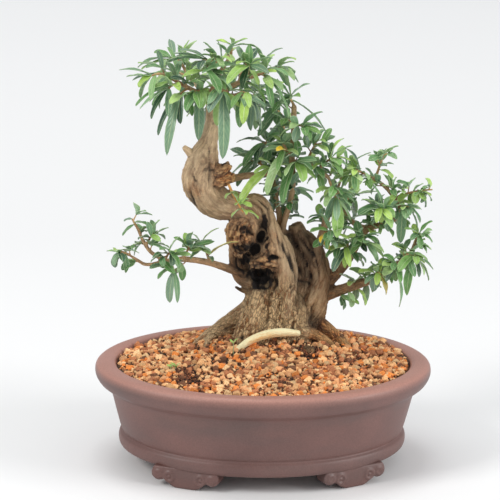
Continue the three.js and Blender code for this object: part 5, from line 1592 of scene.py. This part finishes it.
def addGrains():
    blocks, pebbles = modelGrains(True), modelGrains(False)
    rng = np.random.default_rng(5)
    pitch, upper = soil["pitch"], soil["upper"]
    paths = [followLimb(rows, 2.5) for look, leafy, rows in limbs]
    samples, radii = (np.concatenate([path[key] for path in paths]) for key in ("spots", "radii"))
    low = samples[:, 2] < soil["highest"]
    samples, radii = samples[low], radii[low]
    tones = np.concatenate([[tone] * weight for tone, weight in soil["colours"]])
    bedWidth = bedLength * pot["squash"]
    grid = [(layer, gx, gy) for layer in range(2) for gx in np.arange(-bedLength, bedLength, pitch)
            for gy in np.arange(-bedWidth, bedWidth, pitch)]
    bits = []
    for layer, gx, gy in grid:
        x, y = gx + rng.uniform(-0.5, 0.5) * pitch, gy + rng.uniform(-0.5, 0.5) * pitch
        size = np.interp(rng.random() ** 1.4, (0, 1), soil["sizes"]) * (upper["size"] if layer else 1.0)
        if outward(x, y) > (1 - size / 2 / bedLength) ** 2:
            continue
        if layer and rng.random() > upper["share"]:
            continue
        bareShare = max(share * math.exp(-((x - hx) ** 2 + (y - hy) ** 2) / r ** 2)
                        for hx, hy, r, share in soil["humus"])
        if rng.random() < bareShare:
            continue
        z = float(moundHeight(x, y)) + rng.uniform(-0.6, 0.5) + upper["lift"] * layer
        if (np.linalg.norm(samples - (x, y, z), axis=1) - radii).min() < 0.2 * size:
            continue
        turn = Vector(rng.normal(size=3)).normalized()
        spin = np.array(Matrix.Rotation(rng.uniform(0, math.tau), 3, turn))
        shapes = pebbles if size < soil["small"] else blocks
        form, faces = shapes[rng.integers(len(shapes))]
        tone = tones[rng.integers(len(tones))] * rng.uniform(0.7, 1.25)
        bits.append(((form * size) @ spin.T + (x, y, z), faces, tone))
    heapUp("soil_grains", bits)
    print("grains strewn,", len(bits))


crumbs = {
    "count": 5200,
    "sizes": (0.8, 2.3),
    "dust": 0.45,  # share strewn over the whole bed, the rest lies where the humus shows
    "dustLift": (0.2, 2.2),  # lowest and highest above the mound, mm
    "humusLift": (-0.6, 1.4),
    "edge": 0.96,  # how near the edge of the bed they lie
    "colours": [(0.05, 0.022, 0.012), (0.13, 0.050, 0.024), (0.30, 0.095, 0.038), (0.58, 0.24, 0.10)],
}


# Small crumbs of humus and broken grains. The palest colour is for dust alone.
def addCrumbs():
    rng = np.random.default_rng(8)
    form, faces = takeForm(add(bpy.ops.mesh.primitive_ico_sphere_add, subdivisions=1, radius=0.5))
    bits = []
    for _ in range(crumbs["count"]):
        dusty = rng.random() < crumbs["dust"]
        if dusty:
            x, y = rng.uniform(-bedLength, bedLength), rng.uniform(-bedLength, bedLength) * pot["squash"]
        else:
            hx, hy, far, _ = soil["humus"][rng.integers(len(soil["humus"]))]
            x, y = np.array([hx, hy]) + rng.normal(size=2) * far * 0.6
        lift = rng.uniform(*crumbs["dustLift" if dusty else "humusLift"])
        if outward(x, y) > crumbs["edge"]:
            continue
        size = rng.uniform(*crumbs["sizes"])
        spin = np.array(Matrix.Rotation(rng.uniform(0, math.tau), 3, Vector(rng.normal(size=3)).normalized()))
        rough = form * rng.uniform(0.7, 1.3, size=form.shape) * size
        tone = np.array(crumbs["colours"][rng.integers(4 if dusty else 3)]) * rng.uniform(0.7, 1.3)
        bits.append((rough @ spin.T + (x, y, float(moundHeight(x, y)) + lift), faces, tone))
    heapUp("soil_crumbs", bits)
    print("crumbs strewn,", len(bits))


# seedlings in the grains: place, height and how many leaves
seedlings = [((-71, -22), 4.0, 5), ((-67, -20), 3.0, 4), ((-23, -2), 9.0, 3)]
seedling = {"radii": (0.4, 0.35, 0.3), "leaf": 2.2, "width": 1.6, "tint": 0.72}


def addSeedlings():
    draw = makeDraws(404)
    rows, stems = [], []
    for (x, y), height, count in seedlings:
        base = np.array([x, y, moundHeight(x, y) - 1.0])
        top = base + [0.8 * (draw() - 0.5), 0, height + 1]
        stems.append(tube("seedling", np.array([base, (base + top) / 2, top]), seedling["radii"], 1))
        for k in range(count):
            angle = math.tau * (k + 0.4 * draw()) / count
            way = np.array([math.cos(angle), math.sin(angle), 0.3 + 0.8 * draw()])
            tip = top + way * (seedling["leaf"] + seedling["leaf"] * draw())
            leaf = {"root": top, "tip": tip, "width": seedling["width"], "bend": 0.5, "roll": 0.4}
            rows.append((leaf, draw(), seedling["tint"] + 0.15 * draw()))
    pieces = stems + [addLeaves("seedling leaves", modelLeaf(), rows)]
    for piece in pieces:
        coat(piece, bpy.data.materials["pomegranate leaf"])
    settle(joinAll("seedlings", pieces), "leaf")
    print("seedlings added")


addCamera()
addLights()
addFloor()
addPot()
grown = growShoots()
addTrunk()
addShoots()
addGrains()
addCrumbs()
addSeedlings()
coat(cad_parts["soil"], mixedMaterial("dark humus"))
screenFinish = screenMaterial()
for name in ("drain_screen_left", "drain_screen_right"):
    coat(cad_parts[name], screenFinish)
